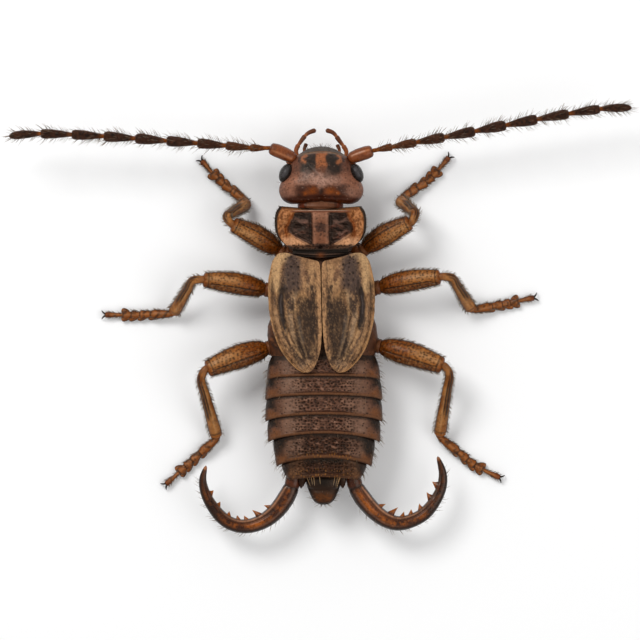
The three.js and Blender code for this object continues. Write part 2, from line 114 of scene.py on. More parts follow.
# %% [markdown]
# ## Surfaces from rings
#
# The rings of the trunk, a leg and a feeler are all one kind of shape: loops of points, one after another
# along an axis, closed at each end by a pole. One helper turns such a grid of points into a mesh. Relief is
# added before that, by moving each point along its normal.

# %% Grids to meshes


def closed_shell(rings, tint):
    """Points, quads, triangles and colours of a closed surface. Ring i meets ring i + 1 in quads, and a fan
    joins the first and the last ring to their own middle points."""
    n, m = rings.shape[:2]
    i, j = np.meshgrid(np.arange(n - 1), np.arange(m), indexing="ij")
    k = (j + 1) % m
    quads = np.stack([i * m + j, (i + 1) * m + j, (i + 1) * m + k, i * m + k], -1).reshape(-1, 4)
    around = np.arange(m)
    after = (around + 1) % m
    first = np.stack([np.full(m, n * m), around, after], -1)
    last = np.stack([np.full(m, n * m + 1), (n - 1) * m + after, (n - 1) * m + around], -1)
    points = np.concatenate([rings.reshape(-1, 3), [rings[0].mean(0)], [rings[-1].mean(0)]])
    colours = np.concatenate([tint.reshape(-1, 4), [tint[0].mean(0)], [tint[-1].mean(0)]])
    return points, quads, np.concatenate([first, last]), colours


def joined(shells):
    """Several closed shells as one: their arrays end to end, with each one's point numbers moved on."""
    starts = np.cumsum([0] + [len(s[0]) for s in shells[:-1]])
    return (
        np.concatenate([s[0] for s in shells]),
        np.concatenate([s[1] + a for s, a in zip(shells, starts)]),
        np.concatenate([s[2] + a for s, a in zip(shells, starts)]),
        np.concatenate([s[3] for s in shells]),
    )


def add_piece(name, shell, finish, nodes=(), unwrap=None):
    """A mesh object from a shell, in metres, that rides on the model and stands for its nodes. The unwrap,
    if there is one, gives each point its place on the UV map."""
    points, quads, tris, colours = shell
    mesh = bpy.data.meshes.new(name)
    mesh.vertices.add(len(points))
    mesh.vertices.foreach_set("co", (points * MM).astype(np.float32).ravel())
    corners = np.concatenate([quads.ravel(), tris.ravel()]).astype(np.int32)
    starts = np.concatenate([np.arange(len(quads)) * 4, len(quads) * 4 + np.arange(len(tris)) * 3])
    mesh.loops.add(len(corners))
    mesh.loops.foreach_set("vertex_index", corners)
    mesh.polygons.add(len(starts))
    mesh.polygons.foreach_set("loop_start", starts.astype(np.int32))
    mesh.update(calc_edges=True)
    mesh.polygons.foreach_set("use_smooth", np.ones(len(starts), bool))
    tints = mesh.color_attributes.new("tint", "FLOAT_COLOR", "POINT")
    tints.data.foreach_set("color", colours.astype(np.float32).ravel())
    if unwrap is not None:
        uv_map = mesh.uv_layers.new(name="OFBake")
        uv_map.data.foreach_set("uv", unwrap[corners].astype(np.float32).ravel())
    mesh.materials.append(finish)
    piece = bpy.data.objects.new(name, mesh)
    show(piece)
    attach(piece, "root")
    if nodes:
        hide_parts(*nodes)


def outward(rings):
    """Unit normals: the way along the rings crossed with the way round each ring."""
    along = np.gradient(rings, axis=0)
    around = np.roll(rings, -1, axis=1) - np.roll(rings, 1, axis=1)
    normal = np.cross(along, around)
    return normal / (np.linalg.norm(normal, axis=-1, keepdims=True) + 1e-12)


def raised(rings, height):
    """Each point moved along its normal by its own height."""
    return rings + outward(rings) * height[..., None]


# %% Values along a list of rows
LEAN, LEAN_RUN = 0.1, 4


def between(rows, u):
    """Catmull-Rom values through equal rows, where u runs from 0 on the first row to 1 on the last."""
    rows = np.asarray(rows, float)
    u = np.clip(np.asarray(u, float), 0, 1) * (len(rows) - 1)
    i = np.minimum(u.astype(int), len(rows) - 2)
    f = (u - i)[..., None]
    a, b, c, d = (rows[np.clip(i + shift, 0, len(rows) - 1)] for shift in (-1, 0, 1, 2))
    return b + 0.5 * f * (c - a + f * (2 * a - 5 * b + 4 * c - d + f * (3 * (b - c) + d - a)))


def midline(y):
    """The body's axis in x at y. It leans by LEAN to the left at the head and to the right at the tail."""
    return -LEAN * np.tanh(np.asarray(y) / LEAN_RUN)


def squared(c, power):
    """A cosine or sine bent towards a square section; a power of 2 leaves it as it is."""
    return np.sign(c) * np.abs(c) ** (2 / power)


def turns(m, above=0.5):
    """Angles round a ring. The share above of the points lies on the upper half."""
    share = np.arange(m) / m
    lower = np.pi + (share - above) / (1 - above) * np.pi
    return np.where(share < above, share / above * np.pi, lower)


def trunk_rings(rows, n, m, power=2.3, spread=None, above=0.5):
    """Rings across the body. A row is y, half width, top and underside, and a ring is a superellipse."""
    u = np.linspace(0, 1, n) if spread is None else spread
    y, wide, top, low = between(rows[::-1], u).T[:, :, None]
    turn = turns(m, above)
    middle = (top + low) / 2
    x = midline(y) + wide * squared(np.cos(turn), power)
    z = middle + (top - low) / 2 * squared(np.sin(turn), power)
    return np.stack([x, y + 0 * x, z], -1)


def from_axis(rings, shift=0.0):
    """The places of a grid as x from the body's axis moved by shift, y and z."""
    return rings[..., 0] - midline(rings[..., 1]) - shift, rings[..., 1], rings[..., 2]


def path_frames(points, n):
    """Places, sides, ups and ways at n equal shares of a smooth path: a side is level, an up is square to
    both the side and the way."""
    fine = between(points, np.linspace(0, 1, 400))
    run = np.concatenate([[0], np.cumsum(np.linalg.norm(np.diff(fine, axis=0), axis=1))])
    t = np.linspace(0, 1, n)
    at = np.stack([np.interp(t * run[-1], run, fine[:, k]) for k in range(3)], -1)
    way = np.gradient(at, axis=0)
    way /= np.linalg.norm(way, axis=1, keepdims=True)
    side = np.cross(way, [0, 0, 1])
    side /= np.linalg.norm(side, axis=1, keepdims=True)
    return at, side, np.cross(side, way), way


def limb_rings(points, sizes, n, m, flat=1.0):
    """Rings round a path. Sizes are rows of share along and half width, joined by straight lines."""
    at, side, up, _ = path_frames(points, n)
    radius = np.interp(np.linspace(0, 1, n), *np.array(sizes, float).T)[:, None, None]
    turn = (np.arange(m) * 2 * np.pi / m)[None, :, None]
    return at[:, None] + radius * (np.cos(turn) * side[:, None] + flat * np.sin(turn) * up[:, None])


# %% [markdown]
# ## Colour and chance
#
# The markings, together with some painted highlights and painted shade, are painted on the points as a
# colour attribute, from masks that are plain formulas of the place on the body. The fourth channel says how
# strongly the finish's grain shows there. A small lattice noise breaks up the edges of the masks, so that
# they look grown and not drawn.

# %% Paint helpers
HASH_FACTORS = (73856093, 19349663, 83492791)
HASH_SEED, HASH_MIX = 40503, (1274126177, 2246822519)
WORD = 0xFFFFFFFF


def srgb(red, green, blue):
    """A screen colour, 0 to 255, as linear light."""
    c = np.array([red, green, blue]) / 255
    return np.where(c <= 0.04045, c / 12.92, ((c + 0.055) / 1.055) ** 2.4)


def coat_of(shape, colour, grain=1.0):
    """One screen colour and one grain all over a grid."""
    tint = np.empty(shape + (4,))
    tint[..., :3] = srgb(*colour)
    tint[..., 3] = grain
    return tint


def paint(tint, colour, mask):
    """A screen colour laid over tint where the mask is 1, and mixed in where it is less. The mask may be a
    single column or row, which then holds for the whole grid."""
    mask = np.clip(mask, 0, 1)[..., None]
    tint[..., :3] = tint[..., :3] * (1 - mask) + srgb(*colour) * mask


def step(x, low, high):
    """0 below low, 1 above high and a smooth slope between."""
    t = np.clip((x - low) / (high - low), 0, 1)
    return t * t * (3 - 2 * t)


def fade(x, low, high):
    """1 below low, 0 above high and a smooth slope between."""
    return 1 - step(x, low, high)


def band(x, low, high, soft):
    """1 between low and high, falling to 0 over a soft edge."""
    return step(x, low - soft, low + soft) * fade(x, high - soft, high + soft)


def stroke(d, y, places, wide, soft=0.5):
    """A brush mark: 1 near a broken line through the places, 0 beyond wide, with a soft share of an edge."""
    nearest = np.full(d.shape, np.inf)
    for (d0, y0), (d1, y1) in zip(places[:-1], places[1:]):
        run = (d1 - d0, y1 - y0)
        share = np.clip(((d - d0) * run[0] + (y - y0) * run[1]) / (run[0] ** 2 + run[1] ** 2), 0, 1)
        nearest = np.minimum(nearest, np.hypot(d - d0 - share * run[0], y - y0 - share * run[1]))
    return 1 - step(nearest, wide * (1 - soft), wide * (1 + soft))


def ridge(x, centre, wide):
    """A bell curve: 1 at the centre, gone at about twice the width."""
    return np.exp(-(((x - centre) / wide) ** 2))


def lattice(cell, seed):
    """A repeatable number from 0 to 1 for each whole-number cell: its three numbers and the seed, each times
    a large factor, mixed bit by bit."""
    h = (seed + 1) * HASH_SEED
    for k, factor in enumerate(HASH_FACTORS):
        h = h ^ cell[..., k] * factor
    h = (h & WORD) * HASH_MIX[0] & WORD
    h = (h ^ (h >> 15)) * HASH_MIX[1] & WORD
    return ((h ^ (h >> 13)) & 0xFFFF) / 0xFFFF


def dimples(points, size, seed, reach=0.34):
    """Round pits on a sheet seen from above: one at a chance place in each square cell of the given size.
    The value is 1 in a pit's middle and 0 beyond reach times the size, and the pits differ in width."""
    place = points[..., :2] / size
    cell = np.floor(place).astype(np.int64)
    nearest = np.full(place.shape[:-1], np.inf)
    for across, along in np.ndindex(3, 3):
        near = cell + [across - 1, along - 1]
        key = np.concatenate([near, 0 * near[..., :1]], -1)
        jitter = np.stack([lattice(key, seed), lattice(key, seed + 1)], -1)
        wide = 0.6 + 0.7 * lattice(key, seed + 2)
        away = np.linalg.norm(near + 0.15 + 0.7 * jitter - place, axis=-1) / wide
        nearest = np.minimum(nearest, away)
    return 1 - step(nearest, 0.3 * reach, reach)


# The rows of a matrix that is close to a plain turn in space.
TWIST = np.array([[0.76, 0.56, 0.33], [-0.64, 0.67, 0.38], [-0.01, -0.50, 0.87]])


def cloud(points, size, seed=0, octaves=3):
    """Smooth noise from -1 to 1: lattice values blended inside each cell, in ever finer cells. Every octave
    turns the cells once more, so that no row of them shows."""
    total, weight, scale = 0, 0, 1.0
    for octave in range(octaves):
        points = points @ TWIST
        place = points / size * scale
        cell = np.floor(place).astype(np.int64)
        f = place - cell
        f = f * f * (3 - 2 * f)
        value = 0
        for corner in np.ndindex(2, 2, 2):
            share = np.prod(np.where(np.array(corner) == 1, f, 1 - f), axis=-1)
            value = value + share * lattice(cell + np.array(corner), seed + octave)
        total = total + (2 * value - 1) / scale
        weight += 1 / scale
        scale *= 2
    return total / weight


# %% [markdown]
# ## Finishes
#
# Horn is neither one colour nor one gloss. Each finish deepens the painted tint with a gamma, varies its
# brightness with a noise in object space, adds fine dark pits, and raises a bump from the same pits and a
# finer grain.

# %% A horn finish
DEPTH = 1.16
GLOSS, COAT_ROUGH, GLINT = 0.24, 0.22, (1.0, 0.84, 0.68, 1.0)
BUMP_HEIGHT = 0.035
PIT_EDGE, PIT_SHADE = (0.12, 0.34), 0.45


def horn(name, rough, mottle=(0.5, 0.18), grain=(0.06, 0.4), pits=(0.22, 0.0), coat=0.0, flake=None):
    """Principled horn: tint to the power DEPTH, times DEPTH and a noisy brightness, with pits as small dark
    Voronoi cells and a bump of the pits and the grain. Sizes are in millimetres, and each second number is
    a strength."""
    material = bpy.data.materials.new(name)
    material.use_nodes = True
    nodes, links = material.node_tree.nodes, material.node_tree.links
    shader = nodes["Principled BSDF"]
    shader.inputs["Coat Weight"].default_value = coat
    shader.inputs["Coat Roughness"].default_value = COAT_ROUGH
    shader.inputs["Specular IOR Level"].default_value = GLOSS
    shader.inputs["Specular Tint"].default_value = GLINT
    where = nodes.new("ShaderNodeTexCoord").outputs["Object"]
    tint = nodes.new("ShaderNodeAttribute")
    tint.attribute_name = "tint"

    def noise(size, detail):
        """A noise whose largest cells have the given size."""
        node = nodes.new("ShaderNodeTexNoise")
        node.inputs["Scale"].default_value = 1 / (size * MM)
        node.inputs["Detail"].default_value = detail
        links.new(where, node.inputs["Vector"])
        return node.outputs["Fac"]

    def remap(value, low, high, to_low, to_high):
        """The value from low to high, moved in proportion to run from to_low to to_high."""
        node = nodes.new("ShaderNodeMapRange")
        for key, number in zip(("From Min", "From Max", "To Min", "To Max"), (low, high, to_low, to_high)):
            node.inputs[key].default_value = number
        links.new(value, node.inputs["Value"])
        return node.outputs["Result"]

    def maths(operation, a, b):
        """The result of one operation on two sockets or numbers."""
        node = nodes.new("ShaderNodeMath")
        node.operation = operation
        for socket, value in zip(node.inputs, (a, b)):
            if isinstance(value, (int, float)):
                socket.default_value = value
            else:
                links.new(value, socket)
        return node.outputs["Value"]

    cells = nodes.new("ShaderNodeTexVoronoi")
    cells.inputs["Scale"].default_value = 1 / (pits[0] * MM)
    links.new(where, cells.inputs["Vector"])
    pit = remap(cells.outputs["Distance"], *PIT_EDGE, 1.0, 0.0)
    fine = noise(grain[0], 3)
    light = remap(noise(mottle[0], 6), 0.3, 0.7, 1 - mottle[1], 1 + mottle[1])
    speck = remap(noise(grain[0] * 1.6, 2), 0.35, 0.65, 1 - 0.6 * mottle[1], 1 + 0.6 * mottle[1])
    dark = remap(maths("MULTIPLY", pit, pits[1]), 0.0, 1.0, DEPTH, PIT_SHADE * DEPTH)
    bright = maths("MULTIPLY", maths("MULTIPLY", light, speck), dark)
    tinted = nodes.new("ShaderNodeVectorMath")
    tinted.operation = "SCALE"
    deep = nodes.new("ShaderNodeGamma")
    deep.inputs["Gamma"].default_value = DEPTH
    links.new(tint.outputs["Color"], deep.inputs["Color"])
    links.new(deep.outputs["Color"], tinted.inputs[0])
    links.new(bright, tinted.inputs["Scale"])
    links.new(tinted.outputs["Vector"], shader.inputs["Base Color"])
    links.new(remap(fine, 0.3, 0.7, rough - 0.08, rough + 0.12), shader.inputs["Roughness"])

    height = maths("SUBTRACT", maths("MULTIPLY", fine, grain[1]), maths("MULTIPLY", pit, pits[1]))
    if flake:
        scales = nodes.new("ShaderNodeTexVoronoi")
        scales.feature = "DISTANCE_TO_EDGE"
        scales.inputs["Scale"].default_value = 1 / (flake[0] * MM)
        links.new(where, scales.inputs["Vector"])
        edge = remap(scales.outputs["Distance"], 0.0, 0.2, 0.0, 1.0)
        height = maths("ADD", height, maths("MULTIPLY", edge, flake[1]))
    bump = nodes.new("ShaderNodeBump")
    bump.inputs["Distance"].default_value = BUMP_HEIGHT * MM
    links.new(maths("MULTIPLY", height, tint.outputs["Alpha"]), bump.inputs["Height"])
    links.new(bump.outputs["Normal"], shader.inputs["Normal"])
    return material


head_horn = horn("head_horn", 0.4, (0.55, 0.2), (0.07, 0.5), (0.26, 0.7), coat=0.08)
eye_glass = horn("eye_glass", 0.26, (0.3, 0.05), (0.05, 0.1), coat=0.2, flake=(0.045, 0.5))
shield_hide = horn("shield_hide", 0.5, (0.35, 0.2), (0.07, 0.9), (0.17, 0.35))
case_hide = horn("case_hide", 0.46, (0.28, 0.16), (0.06, 0.5), (0.2, 0.15))
ring_horn = horn("ring_horn", 0.42, (0.4, 0.16), (0.09, 0.6), (0.24, 0.6))
leg_horn = horn("leg_horn", 0.38, (0.35, 0.12), (0.07, 0.28), (0.2, 0.25), coat=0.04)
whip_hide = horn("whip_hide", 0.55, (0.2, 0.25), (0.06, 0.8), flake=(0.13, 1.2))
pincer_horn = horn("pincer_horn", 0.28, (0.45, 0.2), (0.08, 0.25), (0.3, 0.2), coat=0.22)
hair_horn = horn("hair_horn", 0.5, (0.4, 0.1), (0.1, 0.0), (0.2, 0.0))
print("finishes:", len(bpy.data.materials))

# %% [markdown]
# ## Head
#
# The head is a rounded heart, widest at the cheeks behind the eyes, with a notch where the neck goes in.
# It is one set of rings across the body. The back rings are bent towards the tail at the sides, which gives
# the two lobes. A furrow runs back from the crown, and two faint seams part from it towards the feelers.

# %% Head shape
HEAD = [
    (10.65, 0.10, 2.62, 2.50), (10.61, 0.44, 2.80, 2.34), (10.50, 0.82, 3.02, 2.10),
    (10.34, 1.11, 3.20, 2.00), (10.12, 1.44, 3.42, 1.90), (9.80, 1.74, 3.68, 1.80),
    (9.45, 1.94, 3.90, 1.70), (9.10, 2.08, 4.06, 1.62), (8.80, 2.20, 4.15, 1.58),
    (8.50, 2.44, 4.20, 1.58), (8.20, 2.58, 4.22, 1.60), (7.90, 2.62, 4.20, 1.66),
    (7.62, 2.52, 4.12, 1.76), (7.40, 2.28, 4.00, 1.92), (7.26, 1.90, 3.84, 2.12),
    (7.18, 1.40, 3.64, 2.34), (7.15, 0.80, 3.40, 2.60),
]
HOOK = [(1.0, 10.04), (1.16, 9.92), (1.18, 9.74), (1.06, 9.62)]
TEMPLE = [(1.45, 8.9), (1.6, 8.5), (2.0, 8.3)]
CHEEK_SPOT = [(1.32, 9.86), (1.36, 9.7)]
LOBE = 0.2
HEAD_SHIFT = 0.05


def head_rings(n=150, m=220):
    """Rings of the head, whose back is bent towards the tail by LOBE times the square of the side share."""
    rings = trunk_rings(HEAD, n, m, above=0.62)
    rings[..., 0] += HEAD_SHIFT
    x, y, _ = from_axis(rings, HEAD_SHIFT)
    rings[..., 1] -= LOBE * fade(y, 7.2, 8.0) * np.clip(np.abs(x) / 1.9, 0, 1) ** 2
    return rings


def head_relief(x, y, z):
    """The furrow, the two seams, two hollows before the nape and a groove on it, the edge of the lip and
    the corners of the brow, as heights in mm."""
    top = step(z, 2.9, 3.3)
    furrow = -0.05 * ridge(x, 0, 0.09) * fade(y, 8.0, 9.0)
    seam = -0.015 * ridge(np.abs(x) - 0.95 * (y - 8.75), 0.12, 0.1) * band(y, 8.9, 9.6, 0.2)
    hollow = -0.06 * ridge(np.abs(x), 0.62, 0.38) * ridge(y, 7.75, 0.3)
    nape = -0.035 * ridge(y, 7.42, 0.12) * fade(np.abs(x), 1.5, 2.2)
    lip = -0.04 * ridge(y, 10.28 - 0.12 * x * x, 0.05) * fade(np.abs(x), 0.9, 1.3)
    brow = 0.05 * ridge(np.abs(x), 1.02, 0.3) * ridge(y, 9.75, 0.3)
    return top * (furrow + seam + hollow + nape + lip + brow)


def head_paint(x, y, z, rings):
    """The head's markings, from the crown to the face, the nape and the fine specks, and painted shade on
    its lower flanks. Noise warps the places px and py, and side is the distance from the head's middle."""
    rough = cloud(rings, 0.5, 11)
    fine = cloud(rings, 0.13, 12)
    px, py = x + 0.12 * rough, y + 0.14 * rough
    side = np.abs(px)
    tint = coat_of(x.shape, (126, 89, 73))
    paint(tint, (168, 134, 118), 0.8 * ridge(px, 0, 1.15) * ridge(py, 8.62, 0.7))
    paint(tint, (150, 106, 84), 0.4 * step(fine, 0.05, 0.45))
    paint(tint, (84, 50, 38), 0.45 * step(-fine, 0.1, 0.5))
    brow = 0.8 * ridge(side, 0.72, 0.5) * ridge(py, 9.02, 0.34) * step(fine + rough, -0.5, 0.1)
    paint(tint, (58, 42, 36), brow)
    paint(tint, (144, 98, 76), 0.6 * ridge(side, 1.9, 0.5) * ridge(py, 8.3, 0.55))
    paint(tint, (94, 58, 44), 0.7 * ridge(side, 1.5, 0.35) * band(py, 8.8, 10.1, 0.2))
    paint(tint, (138, 92, 70), 0.5 * stroke(side, py, TEMPLE, 0.3, 0.8))
    paint(tint, (70, 46, 38), 0.5 * step(fine + rough, 0.15, 0.7) * band(py, 8.9, 10.1, 0.3))

    face = band(py, 9.12 + 0.16 * np.cos(3 * px), 10.22, 0.2) * fade(side, 1.1, 1.46)
    paint(tint, (38, 30, 27), 0.96 * face * (1 - 0.2 * fine))
    bar = band(px, -0.31, 0.33, 0.08) * band(py, 9.3, 10.28, 0.1)
    paint(tint, (148, 92, 58), bar * (1 - 0.35 * step(fine, 0.0, 0.5)))
    paint(tint, (104, 62, 42), 0.8 * band(px, -0.3, 0.3, 0.1) * ridge(py, 9.2, 0.16))
    paint(tint, (152, 96, 62), 0.9 * stroke(side + 0.1 * fine, py, HOOK, 0.11, 0.7))
    paint(tint, (50, 36, 32), 0.7 * stroke(side, py, CHEEK_SPOT, 0.09))
    paint(tint, (86, 84, 80), 0.9 * step(y + 0.1 * x * x, 10.3, 10.38))
    paint(tint, (150, 128, 106), 0.6 * ridge(y + 0.1 * x * x, 10.28, 0.035))

    nape = band(y + 0.07 * fine + 0.1 * rough, 7.4, 8.24 - 0.3 * ridge(side, 0, 0.25), 0.16)
    paint(tint, (68, 29, 8), 0.94 * (nape * fade(side, 1.3, 1.9)))
    paint(tint, (58, 22, 8), 0.6 * ridge(side, 1.35, 0.25) * ridge(py, 7.9, 0.2))
    amber = ridge(side, 0.52, 0.32) * ridge(py, 7.83, 0.27) + ridge(side, 1.0, 0.18) * ridge(py, 7.66, 0.15)
    paint(tint, (128, 66, 8), 0.95 * amber)
    paint(tint, (34, 10, 4), 0.95 * ridge(px, 0.02, 0.12) * ridge(y, 7.82, 0.3))
    paint(tint, (52, 22, 10), 0.7 * ridge(side, 1.16, 0.1) * ridge(y, 7.95, 0.14))
    paint(tint, (66, 26, 6), 0.95 * fade(y + 0.1 * side, 7.56, 7.8))
    edge = fade(y + 0.1 * side, 7.3, 7.42) * band(side, 0.9, 2.2, 0.2)
    paint(tint, (104, 50, 14), 0.6 * edge)

    # Painted shade: the lower flanks of the head, darker towards its outline.
    paint(tint, (48, 22, 12), 0.85 * fade(z, 2.4, 3.5))
    pits = dimples(rings, 0.2, 15, 0.22) * step(z, 3.2, 3.6)
    paint(tint, (52, 32, 26), 0.7 * pits * band(y, 7.8, 9.9, 0.2))
    paint(tint, (78, 48, 38), 0.5 * step(cloud(rings, 0.3, 19), 0.1, 0.5) * band(y, 8.0, 9.3, 0.2))
    paint(tint, (186, 156, 136), 0.3 * dimples(rings, 0.34, 17, 0.1) * step(z, 3.6, 3.9))
    tint[..., 3] = 0.3 + 0.5 * band(y, 7.9, 9.9, 0.3)
    return tint


rings = head_rings()
x, y, z = from_axis(rings, HEAD_SHIFT)
tint = head_paint(x, y, z, rings)
skull = raised(rings, head_relief(x, y, z) + 0.01 * cloud(rings, 0.3, 3))
add_piece("skull", closed_shell(skull, tint), head_horn, ["head"])
print("head length", round(float(np.ptp(skull[..., 1])), 2), "mm")

# %% [markdown]
# The eyes are long domes that sit in the corners of the face. Each is an ellipsoid, sunk about half way
# into the head. A pale knob in front of each eye is the socket of the feeler.

# %% Eyes and sockets
EYE_PLACE, EYE_RADII, EYE_TURN = (2.2, 8.98, 3.2), (0.38, 0.62, 0.6), 0.42
# The path of a painted highlight along each eye.
EYE_HIGHLIGHT = [(2.14, 9.24), (2.34, 8.84)]
SOCKET_PLACE, SOCKET_RADII = (1.9, 9.76, 2.75), (0.3, 0.3, 0.3)


def ball_rings(centre, radii, turn, n=40, m=48):
    """An ellipsoid's rings from its front pole to its back pole, turned about the upright by turn."""
    a = np.linspace(np.pi - 0.02, 0.02, n)[:, None]
    b = np.arange(m) * 2 * np.pi / m
    x = np.sin(a) * np.cos(b) * radii[0]
    y = np.cos(a) * radii[1] + 0 * b
    z = np.sin(a) * np.sin(b) * radii[2]
    c, s = np.cos(turn), np.sin(turn)
    return np.stack([c * x - s * y, s * x + c * y, z], -1) + centre


for side, hand in SIDES.items():
    axis = midline(EYE_PLACE[1]) + HEAD_SHIFT
    eye = ball_rings((axis + hand * EYE_PLACE[0], *EYE_PLACE[1:]), EYE_RADII, hand * EYE_TURN)
    tint = coat_of(eye.shape[:2], (22, 20, 22))
    # A painted highlight along the top of the eye, and painted shade on the lower flanks of its dome.
    painted_highlight = stroke(np.abs(eye[..., 0] - axis), eye[..., 1], EYE_HIGHLIGHT, 0.13, 0.9)
    paint(tint, (92, 88, 90), 0.7 * painted_highlight)
    paint(tint, (12, 9, 9), 0.9 * fade(eye[..., 2], 3.2, 3.64))
    add_piece(f"eye_dome_{side}", closed_shell(eye, tint), eye_glass, [f"eye_{side}"])
    socket = ball_rings((axis + hand * SOCKET_PLACE[0], *SOCKET_PLACE[1:]), SOCKET_RADII, 0, 24, 28)
    tint = coat_of(socket.shape[:2], (140, 80, 44))
    add_piece(f"feeler_socket_{side}", closed_shell(socket, tint), head_horn)

# %% [markdown]
# ## Mouth
#
# From above, only the four mouth feelers reach past the face. Each is a chain of joints that swell a little
# towards their ends, with pale necks between them. The jaws are a blunt block under the face.

# %% Mouth feelers and jaws
LONG_PALPS = {
    "left": [(-1.5, 10.0, 2.2), (-1.6, 10.46, 2.15), (-1.24, 11.07, 2.15), (-0.87, 11.48, 2.12),
             (-0.36, 11.68, 2.05)],
    "right": [(1.42, 9.95, 2.2), (1.5, 10.38, 2.15), (1.04, 11.07, 2.15), (0.7, 11.5, 2.12),
              (0.22, 11.68, 2.05)],
}
SHORT_PALPS = {
    "left": [(-0.86, 10.0, 1.8), (-1.1, 10.42, 1.76), (-0.96, 10.86, 1.7)],
    "right": [(0.84, 10.0, 1.8), (1.08, 10.38, 1.76), (0.94, 10.8, 1.7)],
}
PALP_ROOT, PALP_NECK, PALP_TIP = (150, 88, 50), (168, 104, 60), (98, 56, 36)
LONG_JOINTS, LONG_SIZE = (0.36, 0.66, 1.0), (0.155, 0.1)
SHORT_JOINTS, SHORT_SIZE = (0.5, 1.0), (0.13, 0.09)
JAWS = [
    (10.6, 0.2, 2.1, 1.9), (10.45, 0.5, 2.2, 1.6), (10.1, 0.68, 2.2, 1.4), (9.6, 0.72, 2.2, 1.3),
    (9.2, 0.5, 2.1, 1.5),
]


def jointed_feeler(points, joints, wide, neck, n=90, m=24):
    """A tube whose half width swells from neck to wide along each joint and drops back at its end."""
    t = np.linspace(0, 1, n)
    start = np.array([0.0, *joints[:-1]])
    k = np.minimum(np.searchsorted(joints, t), len(joints) - 1)
    f = (t - start[k]) / (np.array(joints)[k] - start[k])
    swell = np.clip(f, 0, 1) ** 0.6 * fade(f, 0.9, 1.0)
    radius = neck + (wide - neck) * swell
    radius = radius * np.sqrt(np.clip(1 - ((t - 0.93) / 0.07) ** 2 * (t > 0.93), 0.01, 1))
    rings = limb_rings(points, np.stack([t, radius], -1), n, m)
    tint = coat_of(rings.shape[:2], PALP_TIP)
    paint(tint, PALP_ROOT, fade(t, 0.1, 0.6)[:, None])
    paint(tint, PALP_NECK, 0.8 * (1 - np.clip(swell * 2, 0, 1))[:, None])
    return closed_shell(rings, tint)


for side in SIDES:
    palp = jointed_feeler(LONG_PALPS[side], LONG_JOINTS, *LONG_SIZE)
    add_piece(f"long_palp_{side}", palp, leg_horn, [f"palp_long_{side}"])
    palp = jointed_feeler(SHORT_PALPS[side], SHORT_JOINTS, *SHORT_SIZE, 50)
    add_piece(f"short_palp_{side}", palp, leg_horn, [f"palp_short_{side}"])

rings = trunk_rings(JAWS, 40, 48)
x, y, _ = from_axis(rings)
tint = coat_of(x.shape, (96, 54, 36))
paint(tint, (36, 18, 12), step(y, 10.2, 10.5))
split = -0.08 * ridge(x, 0, 0.05)
add_piece("jaws", closed_shell(raised(rings, split), tint), head_horn, ["mouthparts"])

# %% [markdown]
# ## Feelers
#
# The first joint is thick and polished. The whip after it is nine joints, each narrow at its root, swelling
# to a blunt end and then drawn in to an orange neck. One profile of the share along a joint, repeated for
# each length, gives the whole whip as a single tube.

# %% Feelers
FEELERS = {
    "left": {
        "base": [(-1.6, 9.82, 2.9), (-2.45, 10.24, 3.0), (-3.26, 10.55, 3.06)],
        "whip": [(-3.1, 10.54, 3.06), (-4.5, 10.56, 3.12), (-7.74, 10.83, 3.3), (-13.53, 11.25, 3.7),
                 (-17.42, 11.4, 3.9), (-19.37, 11.25, 3.95)],
    },
    "right": {
        "base": [(1.6, 9.84, 2.9), (2.4, 10.14, 3.0), (3.16, 10.38, 3.06)],
        "whip": [(3.0, 10.34, 3.06), (4.36, 10.61, 3.12), (7.56, 11.2, 3.3), (13.32, 12.3, 3.7),
                 (17.15, 12.92, 3.9), (19.16, 13.01, 3.95)],
    },
}
BASE_SIZES = [
    (0, 0.16), (0.05, 0.26), (0.16, 0.37), (0.4, 0.42), (0.75, 0.42), (0.92, 0.37), (0.98, 0.27), (1, 0.1),
]
BASE_N, BASE_M = 60, 48
WHIP_JOINTS = np.array([0.95, 1.5, 1.78, 1.9, 1.94, 1.97, 1.96, 1.93, 1.96])
WHIP_START = 0.42
NECK_RADIUS, TIP_RADIUS, BEAD_RADIUS = 0.13, 0.01, 0.33
BEAD_SHARES = np.array([0.7, 0.84, 0.96, 1, 1, 0.98, 0.95, 0.9, 0.8])
CROWN, LAST_CROWN = 0.84, 0.62


def whip_shape(points, n=520, m=36):
    """Rings, and as columns each ring's joint number and how far it stands out from a neck. The half width
    rises along each joint to its crown, and closes beyond it as a quarter of an ellipse."""
    t = np.linspace(0, 1, n)
    ends = np.cumsum(WHIP_JOINTS) + WHIP_START
    run = t * ends[-1]
    k = np.minimum(np.searchsorted(ends, run), len(ends) - 1)
    f = np.clip(1 - (ends[k] - run) / WHIP_JOINTS[k], 0, 1)
    f = np.where(run < WHIP_START, 0, f)
    last = k == len(ends) - 1
    crown = np.where(last, LAST_CROWN, CROWN)
    swell = np.sin(0.5 * np.pi * np.clip(f / crown, 0, 1)) ** 1.2
    close = np.sqrt(np.clip(1 - np.clip((f - crown) / (1 - crown), 0, 1) ** 2, 0, 1))
    close = np.where(last, close, close**0.7)
    thin = np.where(last & (f > crown), TIP_RADIUS, NECK_RADIUS)
    radius = thin + (BEAD_RADIUS * BEAD_SHARES[k] - thin) * swell * close
    rings = limb_rings(points, np.stack([t, radius], -1), n, m)
    return rings, k[:, None], (swell * close)[:, None]


